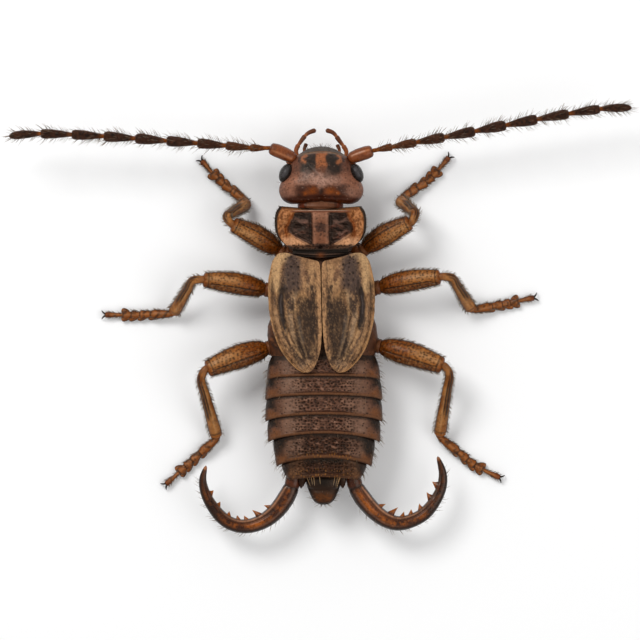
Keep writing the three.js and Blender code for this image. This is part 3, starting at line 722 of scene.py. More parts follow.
whips = {}
for side in SIDES:
    base = limb_rings(FEELERS[side]["base"], BASE_SIZES, BASE_N, BASE_M)
    share = np.linspace(0, 1, BASE_N)[:, None]
    turn = turns(BASE_M)
    tint = coat_of(base.shape[:2], (124, 70, 38), 0.3)
    paint(tint, (88, 44, 22), 0.6 * step(cloud(base * [1, 2, 1], 0.3, 5), 0.0, 0.5))
    paint(tint, (70, 32, 16), 0.85 * fade(share, 0.02, 0.12) + 0.6 * step(share, 0.9, 0.97))
    # Painted shade on the flanks and underside of the first joint, and a painted highlight along its top.
    paint(tint, (50, 24, 12), 0.85 * fade(np.sin(turn), 0.2, 0.6))
    paint(tint, (176, 122, 86), 0.6 * ridge(turn, 1.85, 0.16) * band(share, 0.15, 0.9, 0.05))
    add_piece(f"feeler_root_{side}", closed_shell(base, tint), pincer_horn, [f"feeler_base_{side}"])
    whip, joint, bead = whip_shape(FEELERS[side]["whip"])
    tint = coat_of(whip.shape[:2], (66, 38, 25))
    scaly = cloud(whip, 0.1, 21, 2)
    paint(tint, (28, 17, 14), 0.8 * step(scaly, 0.0, 0.4))
    paint(tint, (98, 66, 50), 0.5 * step(-scaly, 0.15, 0.5))
    paint(tint, (110, 64, 32), 0.8 * np.clip((2.4 - joint) / 2.4, 0, 1))
    paint(tint, (134, 76, 26), 0.95 * fade(bead, 0.0, 0.35))
    paint(tint, (122, 70, 30), 0.6 * fade(np.abs(outward(whip)[..., 2]), 0.2, 0.6))
    whips[side] = raised(whip, 0.03 * scaly * bead)
    add_piece(f"feeler_whip_skin_{side}", closed_shell(whips[side], tint), whip_hide,
              [f"feeler_whip_{side}"])

# %% [markdown]
# ## Thorax
#
# The three segments under the shield and the wing cases show only at the neck, at the sides and from
# below. The neck has two horny plates at its sides with soft brown skin between them.

# %% Neck and thorax segments
NECK = [(7.9, 1.1, 3.5, 2.3), (7.3, 1.34, 3.66, 2.1), (6.9, 1.36, 3.72, 2.0), (6.3, 1.3, 3.66, 2.0)]
THORAX = {
    "prothorax": [(6.75, 1.5, 3.6, 2.0), (6.3, 1.95, 3.74, 1.7), (5.5, 2.15, 3.84, 1.5),
                  (4.7, 2.1, 3.84, 1.5), (4.1, 1.9, 3.74, 1.6)],
    "mesothorax": [(4.1, 1.9, 3.5, 1.9), (3.6, 2.55, 3.74, 1.5), (2.6, 2.84, 3.9, 1.3),
                   (0.95, 2.9, 3.92, 1.22)],
    "metathorax": [(1.1, 2.84, 3.9, 1.26), (0.95, 2.9, 3.92, 1.22), (0.0, 3.2, 3.9, 1.18),
                   (-0.6, 3.38, 3.9, 1.18), (-1.3, 3.4, 3.92, 1.14), (-2.36, 3.24, 3.9, 1.12)],
}

rings = trunk_rings(NECK, 50, 90)
x, y, _ = from_axis(rings)
tint = coat_of(x.shape, (112, 72, 50))
plate = band(np.abs(x), 0.95, 1.6, 0.08)
paint(tint, (104, 44, 8), plate)
paint(tint, (60, 24, 8), ridge(np.abs(x), 0.93, 0.05))
folds = 0.02 * np.sin(y * 22) * (1 - plate)
add_piece("neck_skin", closed_shell(raised(rings, folds + 0.05 * plate), tint), leg_horn, ["neck"])

for name, rows in THORAX.items():
    rings = trunk_rings(rows, 70, 120)
    x, y, z = from_axis(rings)
    tint = coat_of(x.shape, (84, 50, 30))
    paint(tint, (46, 27, 18), 0.8 * step(cloud(rings, 0.45, 31), -0.1, 0.4))
    paint(tint, (132, 84, 50), 0.5 * step(cloud(rings, 0.16, 32), 0.15, 0.5))
    paint(tint, (110, 66, 36), 0.7 * fade(z, 1.3, 2.2))
    plates = -0.06 * ridge(x, 0, 0.06) * fade(z, 1.6, 2.0)
    plates -= 0.05 * ridge(np.abs(x), 1.0, 0.06) * fade(z, 1.6, 2.0)
    flank = 0.05 * cloud(rings, 0.5, 33) * band(z, 1.8, 3.2, 0.3)
    add_piece(f"{name}_skin", closed_shell(raised(rings, plates + flank), tint), ring_horn, [name])

# %% [markdown]
# ## Sheets
#
# The shield and the wing cases are plates. A plate is a ring shape too: each ring runs across the upper
# face and back along the lower one. The thickness falls off as a root near the edges, which rounds them.

# %% Plates from an upper face


def plate_shell(upper, thick, tint, under=1.0):
    """A plate from its upper face, its thickness at each point and its colours. Each ring is the upper
    points, then the same points lowered by the thickness, in reverse. Under darkens the lower face as
    painted shade."""
    lower = upper - np.stack([0 * thick, 0 * thick, thick], -1)
    rings = np.concatenate([upper[:, ::-1], lower], axis=1)
    # Painted shade: the lower face is the upper face's colour times under.
    tint = np.concatenate([tint[:, ::-1], tint * [under, under, under, 1]], axis=1)
    return closed_shell(rings, tint), rings


def rounded(s, power, share=1.0):
    """1 where s is 0, falling as a root towards the edges at -1 and 1. A high power keeps it near the
    edges."""
    return np.sqrt(np.clip(1 - np.abs(s) ** power * share, 0, 1))


def ends_close(n):
    """Shares from 0 to 1 that crowd towards both ends: half of one minus a cosine."""
    return 0.5 - 0.5 * np.cos(np.pi * np.linspace(0, 1, n))


# %% [markdown]
# ## Shield
#
# The shield is a rounded square with a dark, dented middle, a paler bar down the centre, and broad grainy
# tan margins that end in a black edge.

# %% Shield shape
SHIELD_HALF = [(2.24,), (2.56,), (2.74,), (2.82,), (2.84,), (2.82,), (2.74,), (2.54,)]
SHIELD_REAR, SHIELD_FRONT = 4.2, 6.66
SHIELD_N, SHIELD_M = 170, 250
SHIELD_DENTS = [(0.14, 1.3, 0.34, 6.28, 0.14), (0.12, 1.45, 0.25, 5.7, 0.12), (0.12, 0.95, 0.3, 5.2, 0.14)]


def shield_top(u, v):
    """The upper face: u across from -1 to 1, v along from the rear to the front. The front corners reach
    forward as ears, and the rear ones are drawn forward and rounded. It also gives the half width and the
    place of the rear edge."""
    half = between(SHIELD_HALF, v)[..., 0]
    rear = SHIELD_REAR + 0.34 * np.abs(u) ** 5
    front = SHIELD_FRONT - 0.05 * u * u + 0.32 * step(np.abs(u), 0.74, 1.02)
    y = rear + (front - rear) * v
    x = u * half
    d = np.abs(x)
    z = 4.5 - 0.05 * x * x - 0.34 * step(d, 1.75, 2.1) - 0.1 * (2 * v - 1) ** 4 + 0.2 * step(d, 2.35, 2.8)
    return np.stack([midline(y) + x, y, z], -1), half, rear


v, u = np.meshgrid(ends_close(SHIELD_N), 2 * ends_close(SHIELD_M) - 1, indexing="ij")
top, half, rear = shield_top(u, v)
x, y, _ = from_axis(top)
d = np.abs(x)
rim = rounded(u, 14) * rounded(2 * v - 1, 12)
noise = cloud(top, 0.45, 41)
crumple = cloud(top * [1, 1.5, 1], 0.5, 44, 3)
# The slope of the crumple places painted highlights and painted shade on the disc.
slope = np.gradient(crumple, axis=0) + 0.5 * np.gradient(crumple, axis=1)
slope /= 3 * slope.std()
fine = cloud(top, 0.11, 42, 2)
outer_edge = 1.62 + 0.4 * step(6.6 - y, 0.0, 1.1) + 0.16 * noise
rear_edge = 4.42 + 0.56 * (d - 0.5) + 0.1 * noise
disc = fade(d, outer_edge - 0.1, outer_edge + 0.08) * step(y, rear_edge - 0.05, rear_edge + 0.12)
disc *= fade(y + 0.12 * step(d, 1.4, 1.9), 6.5, 6.6)
bar = fade(d + 0.1 * noise, 0.36 + 0.05 * (y - 5), 0.56 + 0.05 * (y - 5))

height = -0.12 * ridge(d, outer_edge, 0.12) * band(y, 4.9, 6.6, 0.2)
height -= 0.1 * ridge(d, 0.62, 0.08) * band(y, 4.6, 6.5, 0.2)
height += 0.22 * disc * crumple * step(d, 0.5, 0.8)
height += 0.05 * bar * band(y, 4.7, 6.7, 0.2)
for depth, across, wide, along, long in SHIELD_DENTS:
    height -= depth * ridge(d, across, wide) * ridge(y, along, long)
height += 0.12 * ridge(y, rear_edge - 0.02, 0.06) * band(d, 0.6, 1.7, 0.12)
height -= 0.1 * ridge(y, rear_edge + 0.16, 0.07) * band(d, 0.6, 1.8, 0.12)
height -= 0.14 * ridge(x, 0, 0.12) * ridge(y, 4.38, 0.1)
height -= 0.08 * ridge(y, 4.36, 0.06) * fade(d, 1.5, 2.0)
height += 0.05 * ridge(y, SHIELD_FRONT - 0.08, 0.05) * fade(d, 1.7, 1.9)
height += 0.035 * fine * step(d, 1.9, 2.1)
height += 0.06 * ridge(half - d, 0.1, 0.08)
rear_pits = dimples(top, 0.22, 46) * fade(y, 4.5, 4.66) * fade(d, 1.8, 2.2)
disc_pits = dimples(top, 0.26, 48, 0.3) * np.maximum(disc, bar) * band(y, 4.8, 6.6, 0.1)
height -= 0.06 * rear_pits + 0.035 * disc_pits
print("shield relief", round(float(np.ptp(height)), 2), "mm")

# %% Shield colours
# Each mark is a colour, a strength, a half width and the places of its stroke. The dark marks are painted
# shade in the folds of the disc, and the pale ones painted highlights on the ridges beside them.
SHIELD_MARKS = [
    ((24, 14, 11), 0.8, 0.1, [(1.7, 6.3), (1.3, 6.12), (0.95, 6.2)]),
    ((128, 98, 86), 0.6, 0.07, [(1.55, 6.1), (1.2, 5.92), (0.85, 6.0)]),
    ((24, 14, 11), 0.7, 0.1, [(1.75, 5.7), (1.35, 5.5), (1.0, 5.55)]),
    ((120, 90, 78), 0.55, 0.06, [(1.6, 5.42), (1.3, 5.26), (0.95, 5.3)]),
    ((24, 14, 11), 0.7, 0.09, [(0.66, 6.3), (0.62, 5.4), (0.7, 4.7)]),
    ((134, 108, 98), 0.5, 0.06, [(1.5, 5.0), (1.1, 4.84), (0.7, 4.66)]),
]

tint = coat_of(x.shape, (150, 100, 60))
paint(tint, (100, 58, 30), 0.75 * step(fine, 0.0, 0.4))
paint(tint, (188, 134, 92), 0.6 * step(-fine, 0.05, 0.4))
rear_margin = fade(y, 4.85, 5.15) * band(d, 0.8, 2.4, 0.2)
paint(tint, (200, 154, 118), 0.8 * rear_margin * (1 - 0.5 * step(fine, 0, 0.4)))
paint(tint, (46, 31, 26), 0.97 * disc)
paint(tint, (92, 54, 40), 0.75 * disc * step(crumple, 0.05, 0.45))
# A painted highlight on the crumple's slopes that face one way, painted shade on those that face the other.
paint(tint, (126, 98, 86), 0.5 * disc * step(-slope, 0.3, 0.9))
paint(tint, (22, 13, 11), 0.7 * disc * step(slope, 0.15, 0.7))
# Painted shade in the folds and painted highlights on their ridges, from SHIELD_MARKS.
for colour, strength, wide, places in SHIELD_MARKS:
    mark = stroke(d + 0.1 * crumple, y + 0.2 * crumple, places, wide, 0.9)
    paint(tint, colour, 0.7 * strength * disc * mark)
paint(tint, (122, 80, 58), bar * band(y, 4.6, 6.75, 0.1))
paint(tint, (58, 36, 29), 0.8 * bar * step(crumple + 0.5 * fine, -0.1, 0.25) * fade(y, 5.6, 6.2))
paint(tint, (150, 108, 86), 0.6 * bar * ridge(y, 6.35, 0.25) + 0.5 * bar * ridge(d, 0.4, 0.1))
middle_spot = ridge(x, 0.02, 0.24) * ridge(y, 5.7 + 0.3 * noise, 0.5)
paint(tint, (62, 36, 28), 0.75 * middle_spot * step(noise + 0.6 * fine, -0.25, 0.25))
paint(tint, (164, 124, 100), 0.7 * ridge(y, rear_edge - 0.02, 0.05) * band(d, 0.6, 1.8, 0.15))
paint(tint, (112, 66, 46), 0.9 * step(y, 6.5, 6.58) * fade(d, 1.75, 1.95))
paint(tint, (190, 168, 150), 0.5 * step(y, 6.6, 6.64) * fade(d, 1.6, 1.8))
paint(tint, (56, 34, 26), 0.85 * fade(y + 0.05 * noise, 4.44, 4.6) * fade(d, 1.9, 2.2))
paint(tint, (30, 18, 14), 0.85 * rear_pits + 0.35 * disc_pits)
paint(tint, (24, 10, 8), 0.95 * ridge(x, 0, 0.11) * ridge(y, 4.38, 0.1))
paint(tint, (124, 62, 14), 0.8 * ridge(d, outer_edge + 0.08, 0.09) * band(y, 5.0, 6.5, 0.2))
paint(tint, (30, 22, 19), 0.97 * fade(half - d + 0.04 * fine, 0.12, 0.2))
paint(tint, (36, 24, 18), 0.9 * fade(y - rear, 0.05, 0.12))
tint[..., 3] = 0.35 + 0.65 * step(d, 1.7, 2.1)
top[..., 2] += height * rim
# The shield's lower face is darkened to 0.6 as painted shade.
shell, shield_rings = plate_shell(top, 0.03 + 0.36 * rim, tint, 0.6)
add_piece("shield_plate", shell, shield_hide, ["shield"])

# %% [markdown]
# A narrow plate bridges the gap between the shield and the wing cases. It is dark with a pale ridge.

# %% Plate behind the shield
v, u = np.meshgrid(ends_close(30), 2 * ends_close(90) - 1, indexing="ij")
x = 1.72 * u
y = 3.72 + 0.13 * np.abs(u) + (0.52 - 0.1 * np.abs(u)) * v
top = np.stack([midline(y) + x, y, 4.16 - 0.09 * x * x + 0.05 * ridge(v, 0.35, 0.14)], -1)
rim = rounded(u, 10) * rounded(2 * v - 1, 6)
tint = coat_of(x.shape, (27, 17, 14), 0.4)
paint(tint, (110, 84, 70), 0.6 * ridge(v, 0.36, 0.06) * fade(np.abs(u), 0.6, 0.9))
paint(tint, (112, 62, 24), 0.8 * ridge(x, 0, 0.25) * ridge(v, 0.3, 0.35))
shell, _ = plate_shell(top, 0.03 + 0.25 * rim, tint)
add_piece("bridge_plate", shell, shield_hide, ["scutellum"])

# %% [markdown]
# ## Wing cases
#
# Each wing case is a leaf laid over the dome of the back: straight where the two meet, rounded behind, and
# turned down at the flank. Its markings are smoke-brown streaks on straw. The masks are written in the
# distance from the midline, so one set of formulas serves both sides, with another seed for each.

# %% Wing case shape
CASE_SEED = 7
CASE_N, CASE_M = 300, 160
CASE_SPAN, CASE_EDGE_Z, CASE_CROWN_Z, CASE_ROUND = 3.34, 2.55, 4.54, 2.7
WING_CASE = [
    (4.03, 2.16, 2.46), (3.96, 1.84, 2.64), (3.80, 1.34, 2.82), (3.62, 0.62, 2.94), (3.48, 0.16, 3.02),
    (3.1, 0.05, 3.12), (2.3, 0.03, 3.25), (1.24, 0.03, 3.28), (0.4, 0.03, 3.25), (-0.4, 0.03, 3.14),
    (-1.1, 0.05, 2.96), (-1.8, 0.12, 2.70), (-2.4, 0.26, 2.34), (-2.85, 0.44, 1.98), (-3.15, 0.62, 1.64),
    (-3.32, 0.82, 1.36), (-3.37, 0.98, 1.18),
]
# Each vein is a height, a half width and the places of its stroke.
CASE_VEINS = [
    (0.07, 0.1, [(1.45, 2.6), (1.62, 1.2), (1.74, 0.2), (1.5, -1.2), (1.0, -2.4)]),
    (0.09, 0.09, [(2.2, 1.9), (2.32, 1.0), (2.2, 0.0), (1.9, -1.0), (1.4, -2.2)]),
    (0.08, 0.08, [(2.78, 1.7), (2.84, 0.8), (2.7, -0.2), (2.3, -1.4), (1.8, -2.3)]),
    (0.05, 0.08, [(0.8, 2.0), (0.7, 0.6), (0.6, -1.0), (0.8, -2.4)]),
    (-0.1, 0.16, [(2.5, 1.7), (2.56, 1.0), (2.46, 0.2), (2.28, -0.6)]),
    (-0.06, 0.07, [(1.9, 3.6), (1.6, 3.3), (1.42, 2.9)]),
]


def case_top(u, v):
    """The upper face: u from the inner to the outer edge, v from the rear to the front. The height is the
    superellipse dome, and u is shared out by angle so that the steep flank has enough points."""
    y, inner, outer = np.moveaxis(between(WING_CASE[::-1], v), -1, 0)
    turn = [np.arccos(np.clip(x / CASE_SPAN, 0, 1) ** (CASE_ROUND / 2)) for x in (inner, outer)]
    angle = turn[0] + (turn[1] - turn[0]) * u
    x = CASE_SPAN * squared(np.cos(angle), CASE_ROUND)
    z = CASE_EDGE_Z + (CASE_CROWN_Z - CASE_EDGE_Z) * squared(np.sin(angle), CASE_ROUND)
    return x, y, z, outer


def case_relief(d, y, outer):
    """Raised margins, and lengthwise veins and hollows, as heights in mm."""
    height = 0.06 * ridge(d, 0.12, 0.07) + 0.09 * ridge(outer - d, 0.06, 0.06) * fade(y, 3.2, 3.8)
    for rise, wide, places in CASE_VEINS:
        height += rise * stroke(d, y, places, wide, 0.9)
    return height - 0.07 * ridge(outer - d, 0.2, 0.06) * band(y, -2.9, 2.6, 0.3)


# %% Wing case colours
# Each mark is a colour, a strength, a half width and the places of its stroke.
CASE_MARKS = [
    ((190, 156, 116), 0.85, 0.3, [(2.15, 3.85), (2.62, 3.7), (2.8, 3.1), (2.86, 2.4), (2.8, 1.9)]),
    ((168, 132, 96), 0.75, 0.32, [(0.5, 3.1), (0.75, 2.5), (0.8, 2.0)]),
    ((150, 116, 88), 0.6, 0.2, [(1.2, 3.2), (1.25, 2.2)]),
    ((96, 66, 52), 0.7, 0.15, [(1.0, 2.9), (0.86, 2.4)]),
    ((80, 63, 56), 0.95, 0.46, [(1.8, 3.3), (1.82, 2.7), (1.76, 2.1), (2.05, 2.3)]),
    ((70, 52, 44), 0.9, 0.18, [(1.78, 3.55), (1.72, 3.2)]),
    ((42, 28, 22), 0.85, 0.07, [(2.02, 3.8), (1.66, 3.58), (1.45, 3.3)]),
    ((126, 96, 66), 0.7, 0.24, [(1.5, 1.5), (1.2, 1.3), (1.0, 0.9)]),
    ((152, 116, 80), 0.7, 0.15, [(1.16, 1.55), (0.93, 1.18), (1.18, 0.75)]),
    ((148, 124, 100), 0.75, 0.18, [(1.6, 1.5), (1.85, 0.8), (2.0, -0.05), (1.72, -1.2), (1.1, -2.3)]),
    ((52, 38, 31), 0.9, 0.11, [(0.62, 1.95), (0.54, 1.4), (0.46, 0.9)]),
    ((56, 41, 32), 0.92, 0.62, [(0.98, 0.6), (0.9, -0.4), (0.95, -1.0), (1.08, -1.6), (1.1, -2.3)]),
    ((52, 38, 31), 0.8, 0.16, [(0.5, 0.9), (0.55, 0.2), (0.6, -0.6)]),
    ((78, 68, 62), 0.8, 0.13, [(1.45, 0.0), (1.36, -0.8), (1.24, -1.5)]),
    ((62, 47, 42), 0.85, 0.2, [(2.14, 1.7), (2.06, 1.1), (1.94, 0.4)]),
    ((34, 28, 27), 0.97, 0.14, [(2.44, 1.75), (2.54, 1.1), (2.5, 0.45), (2.38, -0.25), (2.28, -0.6)]),
    ((172, 138, 102), 0.7, 0.07, [(2.28, -0.75), (1.9, -1.6), (1.3, -2.5)]),
    ((84, 64, 50), 0.75, 0.06, [(2.7, 0.0), (2.36, -1.1), (1.8, -2.1), (1.3, -2.8)]),
    ((170, 134, 98), 0.6, 0.08, [(2.86, 0.4), (2.6, -0.9), (2.1, -2.0)]),
    ((140, 112, 88), 0.6, 0.2, [(0.9, -2.7), (1.3, -2.9)]),
]
PALE_VEINS = [
    (0.07, [(1.6, 1.6), (1.66, 0.8), (1.6, 0.0), (1.36, -1.2), (1.0, -2.4)]),
    (0.05, [(2.2, 0.9), (2.14, -0.1), (1.86, -1.1), (1.36, -2.3)]),
]
DARK_VEIN = [(1.76, 1.2), (1.78, 0.2), (1.5, -1.2), (1.14, -2.3)]
SLATE = [(1.78, 3.5), (1.82, 2.7), (1.78, 2.0)]
OUTER_STREAK = [(2.36, 2.0), (2.48, 1.4), (2.54, 0.8), (2.48, 0.1), (2.34, -0.5), (2.2, -0.8)]
# The path of a painted highlight beside the outer streak.
STREAK_HIGHLIGHT = [(2.46, 1.4), (2.54, 0.9), (2.5, 0.3)]
SPOT_WAY = [(1.84, 3.3), (1.84, 2.6), (1.8, 2.0)]


def case_paint(d, y, outer, points, seed):
    """Straw with smoke-brown marks. Every mark is a stroke whose place is warped by noise. Over them lie
    the two margins, long thin lanes of light and dark, pale veins, grains, two dark streaks and a painted
    highlight along the outer streak."""
    soft = cloud(points, 0.8, seed)
    torn = cloud(points * [1, 0.5, 1], 0.2, seed + 3)
    fine = cloud(points, 0.075, seed + 8, 2)
    warped = d + 0.07 * soft + 0.08 * torn, y + 0.2 * soft + 0.16 * torn
    tint = coat_of(d.shape, (134, 101, 72))
    for colour, strength, wide, places in CASE_MARKS:
        paint(tint, colour, strength * stroke(*warped, places, wide, 0.45))
    specks = step(torn + 0.5 * fine, 0.12, 0.5) * band(d, 0.25, 2.6, 0.2) * fade(y, 2.6, 3.4)
    paint(tint, (58, 44, 37), 0.45 * specks)
    paint(tint, (168, 130, 94), 0.85 * fade(d + 0.03 * torn, 0.2, 0.3) * (1 - 0.3 * step(fine, 0.0, 0.3)))
    paint(tint, (48, 34, 28), 0.6 * ridge(d, 0.36, 0.06) * step(torn, -0.2, 0.2))
    margin = ridge(outer - d, 0.2, 0.05) * (band(y, 1.1, 2.4, 0.3) + 0.6 * band(y, -2.8, 1.1, 0.3))
    paint(tint, (40, 28, 22), 0.75 * margin)
    paint(tint, (172, 130, 86), 0.85 * fade(outer - d, 0.07, 0.14) * fade(y, 2.8, 3.6))
    lanes = np.stack([3 * d / outer, 0.34 * y, 0 * d + seed], -1)
    flow = cloud(lanes, 0.14, seed + 13, 3)
    dusk = band(d + 0.08 * torn, 0.4, 1.6, 0.3) * band(y + 0.6 * (d - 0.9) + 0.3 * soft, -2.4, 0.9, 0.6)
    paint(tint, (58, 42, 34), 0.55 * step(flow, 0.05, 0.4) * step(2.9 - y, 0.0, 1.2))
    paint(tint, (176, 138, 98), 0.36 * step(-flow, 0.1, 0.45) * step(2.9 - y, 0.0, 1.2) * (1 - 0.7 * dusk))
    paint(tint, (40, 28, 23), 0.5 * dusk * step(flow + 0.6 * torn, -0.15, 0.2))
    veins = sum(stroke(d + 0.02 * torn, y, places, wide, 0.7) for wide, places in PALE_VEINS)
    paint(tint, (142, 114, 84), 0.4 * veins)
    paint(tint, (48, 36, 31), 0.6 * stroke(d, y, DARK_VEIN, 0.05, 0.8))
    paint(tint, (44, 30, 24), 0.4 * step(fine, 0.16, 0.5))
    paint(tint, (196, 156, 112), 0.34 * step(-fine, 0.12, 0.5) * (1 - 0.6 * dusk))
    paint(tint, (80, 64, 58), 0.72 * stroke(*warped, SLATE, 0.5, 0.5))
    streak = stroke(d + 0.05 * soft + 0.04 * torn, y, OUTER_STREAK, 0.19, 0.6)
    paint(tint, (46, 37, 35), 0.88 * streak * band(y, -0.5, 2.1, 0.5))
    # A painted highlight along the outer dark streak.
    paint(tint, (96, 86, 84), 0.5 * stroke(d, y, STREAK_HIGHLIGHT, 0.04, 0.8))
    return tint


# %% Both wing cases
v, u = np.meshgrid(ends_close(CASE_N), ends_close(CASE_M), indexing="ij")
d, y, z, outer = case_top(u, v)
rim = rounded(2 * u - 1, 14) * rounded(2 * v - 1, 14, 0.98)
for side, hand in SIDES.items():
    seed = CASE_SEED + (hand > 0) * 20
    points = np.stack([hand * d, y, z], -1)
    spots = dimples(points, 0.32, seed + 11, 0.26) * stroke(d, y, SPOT_WAY, 0.6, 0.3)
    grain = cloud(points, 0.075, seed + 8, 2)
    tint = case_paint(d, y, outer, points, seed)
    paint(tint, (24, 16, 14), 0.85 * spots)
    lift = (case_relief(d, y, outer) - 0.05 * spots - 0.02 * grain) * rim
    lift = lift + 0.03 * cloud(points * [1, 0.5, 1], 0.3, seed + 5, 2) * rim
    top = np.stack([midline(y) + hand * (d + lift * step(d, 2.9, 3.3)), y, z + lift], -1)
    thick = 0.02 + 0.25 * rim
    if hand < 0:
        top, thick, tint = top[:, ::-1], thick[:, ::-1], tint[:, ::-1]
    # The wing case's lower face is darkened to 0.6 as painted shade.
    shell, _ = plate_shell(top, thick, tint, 0.6)
    add_piece(f"wing_case_skin_{side}", shell, case_hide, [f"wing_case_{side}"])
print("wing case length", round(float(np.ptp(y)), 2), "mm")

# %% [markdown]
# ## Abdomen
#
# The abdomen is a row of rings. Each ring slips under the one before it and flares towards its own rear
# edge, whose corners end in a point. The middle of a ring is wrinkled across, its rear edge is a smooth
# tan band, and its front corners are nearly black.

# %% Abdomen rings
RINGS = [
    (-2.42, 3.28, 3.46, 3.98, 1.12), (-3.57, 3.44, 3.58, 4.10, 1.10), (-4.74, 3.50, 3.58, 4.16, 1.08),
    (-5.95, 3.44, 3.42, 4.12, 1.10), (-7.13, 3.16, 2.90, 4.02, 1.20), (-8.64, 2.66, 2.22, 3.84, 1.34),
]
ABDOMEN_END = -9.83
ABDOMEN_SHIFT = 0.03
RING_BOW = [0.06, 0.12, 0.2, 0.32, 0.42, 0.42, 0.2]
BULGE, CORNER = 0.07, 0.2
FOLD_ROWS, FOLD_SHARE = 16, 0.34


def ring_grid(k, n=90, m=320):
    """Rings of one abdomen segment, the distance from its axis in x, the share along it from its front
    edge, 0, to its rear edge, 1, and the share across. The rear rows fold the edge under. The rear edge is
    bowed by the square of the share across, and its corners are drawn towards the tail."""
    front, wide_front, wide_rear, top, low = RINGS[k]
    if k + 1 < len(RINGS):
        rear, _, _, next_top, next_low = RINGS[k + 1]
        top_end, low_end = next_top + 0.1, next_low - 0.08
    else:
        rear, top_end, low_end = ABDOMEN_END, top - 0.26, low + 0.2
    third, two_thirds = front + 0.33 * (rear - front), front + 0.66 * (rear - front)
    rows = [
        (front + 0.3, wide_front - 0.2, top - 0.14, low + 0.12),
        (front, wide_front - 0.02, top, low),
        (third, wide_front * 0.66 + wide_rear * 0.34 + BULGE, top * 0.6 + top_end * 0.4, low),
        (two_thirds, wide_front * 0.3 + wide_rear * 0.7 + BULGE, top * 0.3 + top_end * 0.7, low_end),
        (rear + 0.03, wide_rear, top_end, low_end),
        (rear - 0.02, wide_rear - 0.05, top_end - 0.05, low_end + 0.05),
        (rear + 0.02, wide_rear - 0.16, top_end - 0.16, low_end + 0.16),
    ]
    fold = np.linspace(0, FOLD_SHARE, FOLD_ROWS, endpoint=False)
    spread = np.concatenate([fold, np.linspace(FOLD_SHARE, 1, n - FOLD_ROWS)])
    rings = trunk_rings(rows, n, m, 2.3, spread, 0.66)
    rings[..., 0] += ABDOMEN_SHIFT
    x, y, _ = from_axis(rings, ABDOMEN_SHIFT)
    share = (front - y) / (front - rear)
    side = np.clip(np.abs(x) / wide_rear, 0, 1)
    bow = RING_BOW[k] + (RING_BOW[k + 1] - RING_BOW[k]) * np.clip(share, 0, 1)
    corner = CORNER * side**14 * step(share, 0.55, 1.0) * (k < 5)
    rings[..., 1] -= bow * side**2 + 0.85 * corner
    rings[..., 0] += np.sign(x) * 0.2 * corner
    return rings, x, share, side


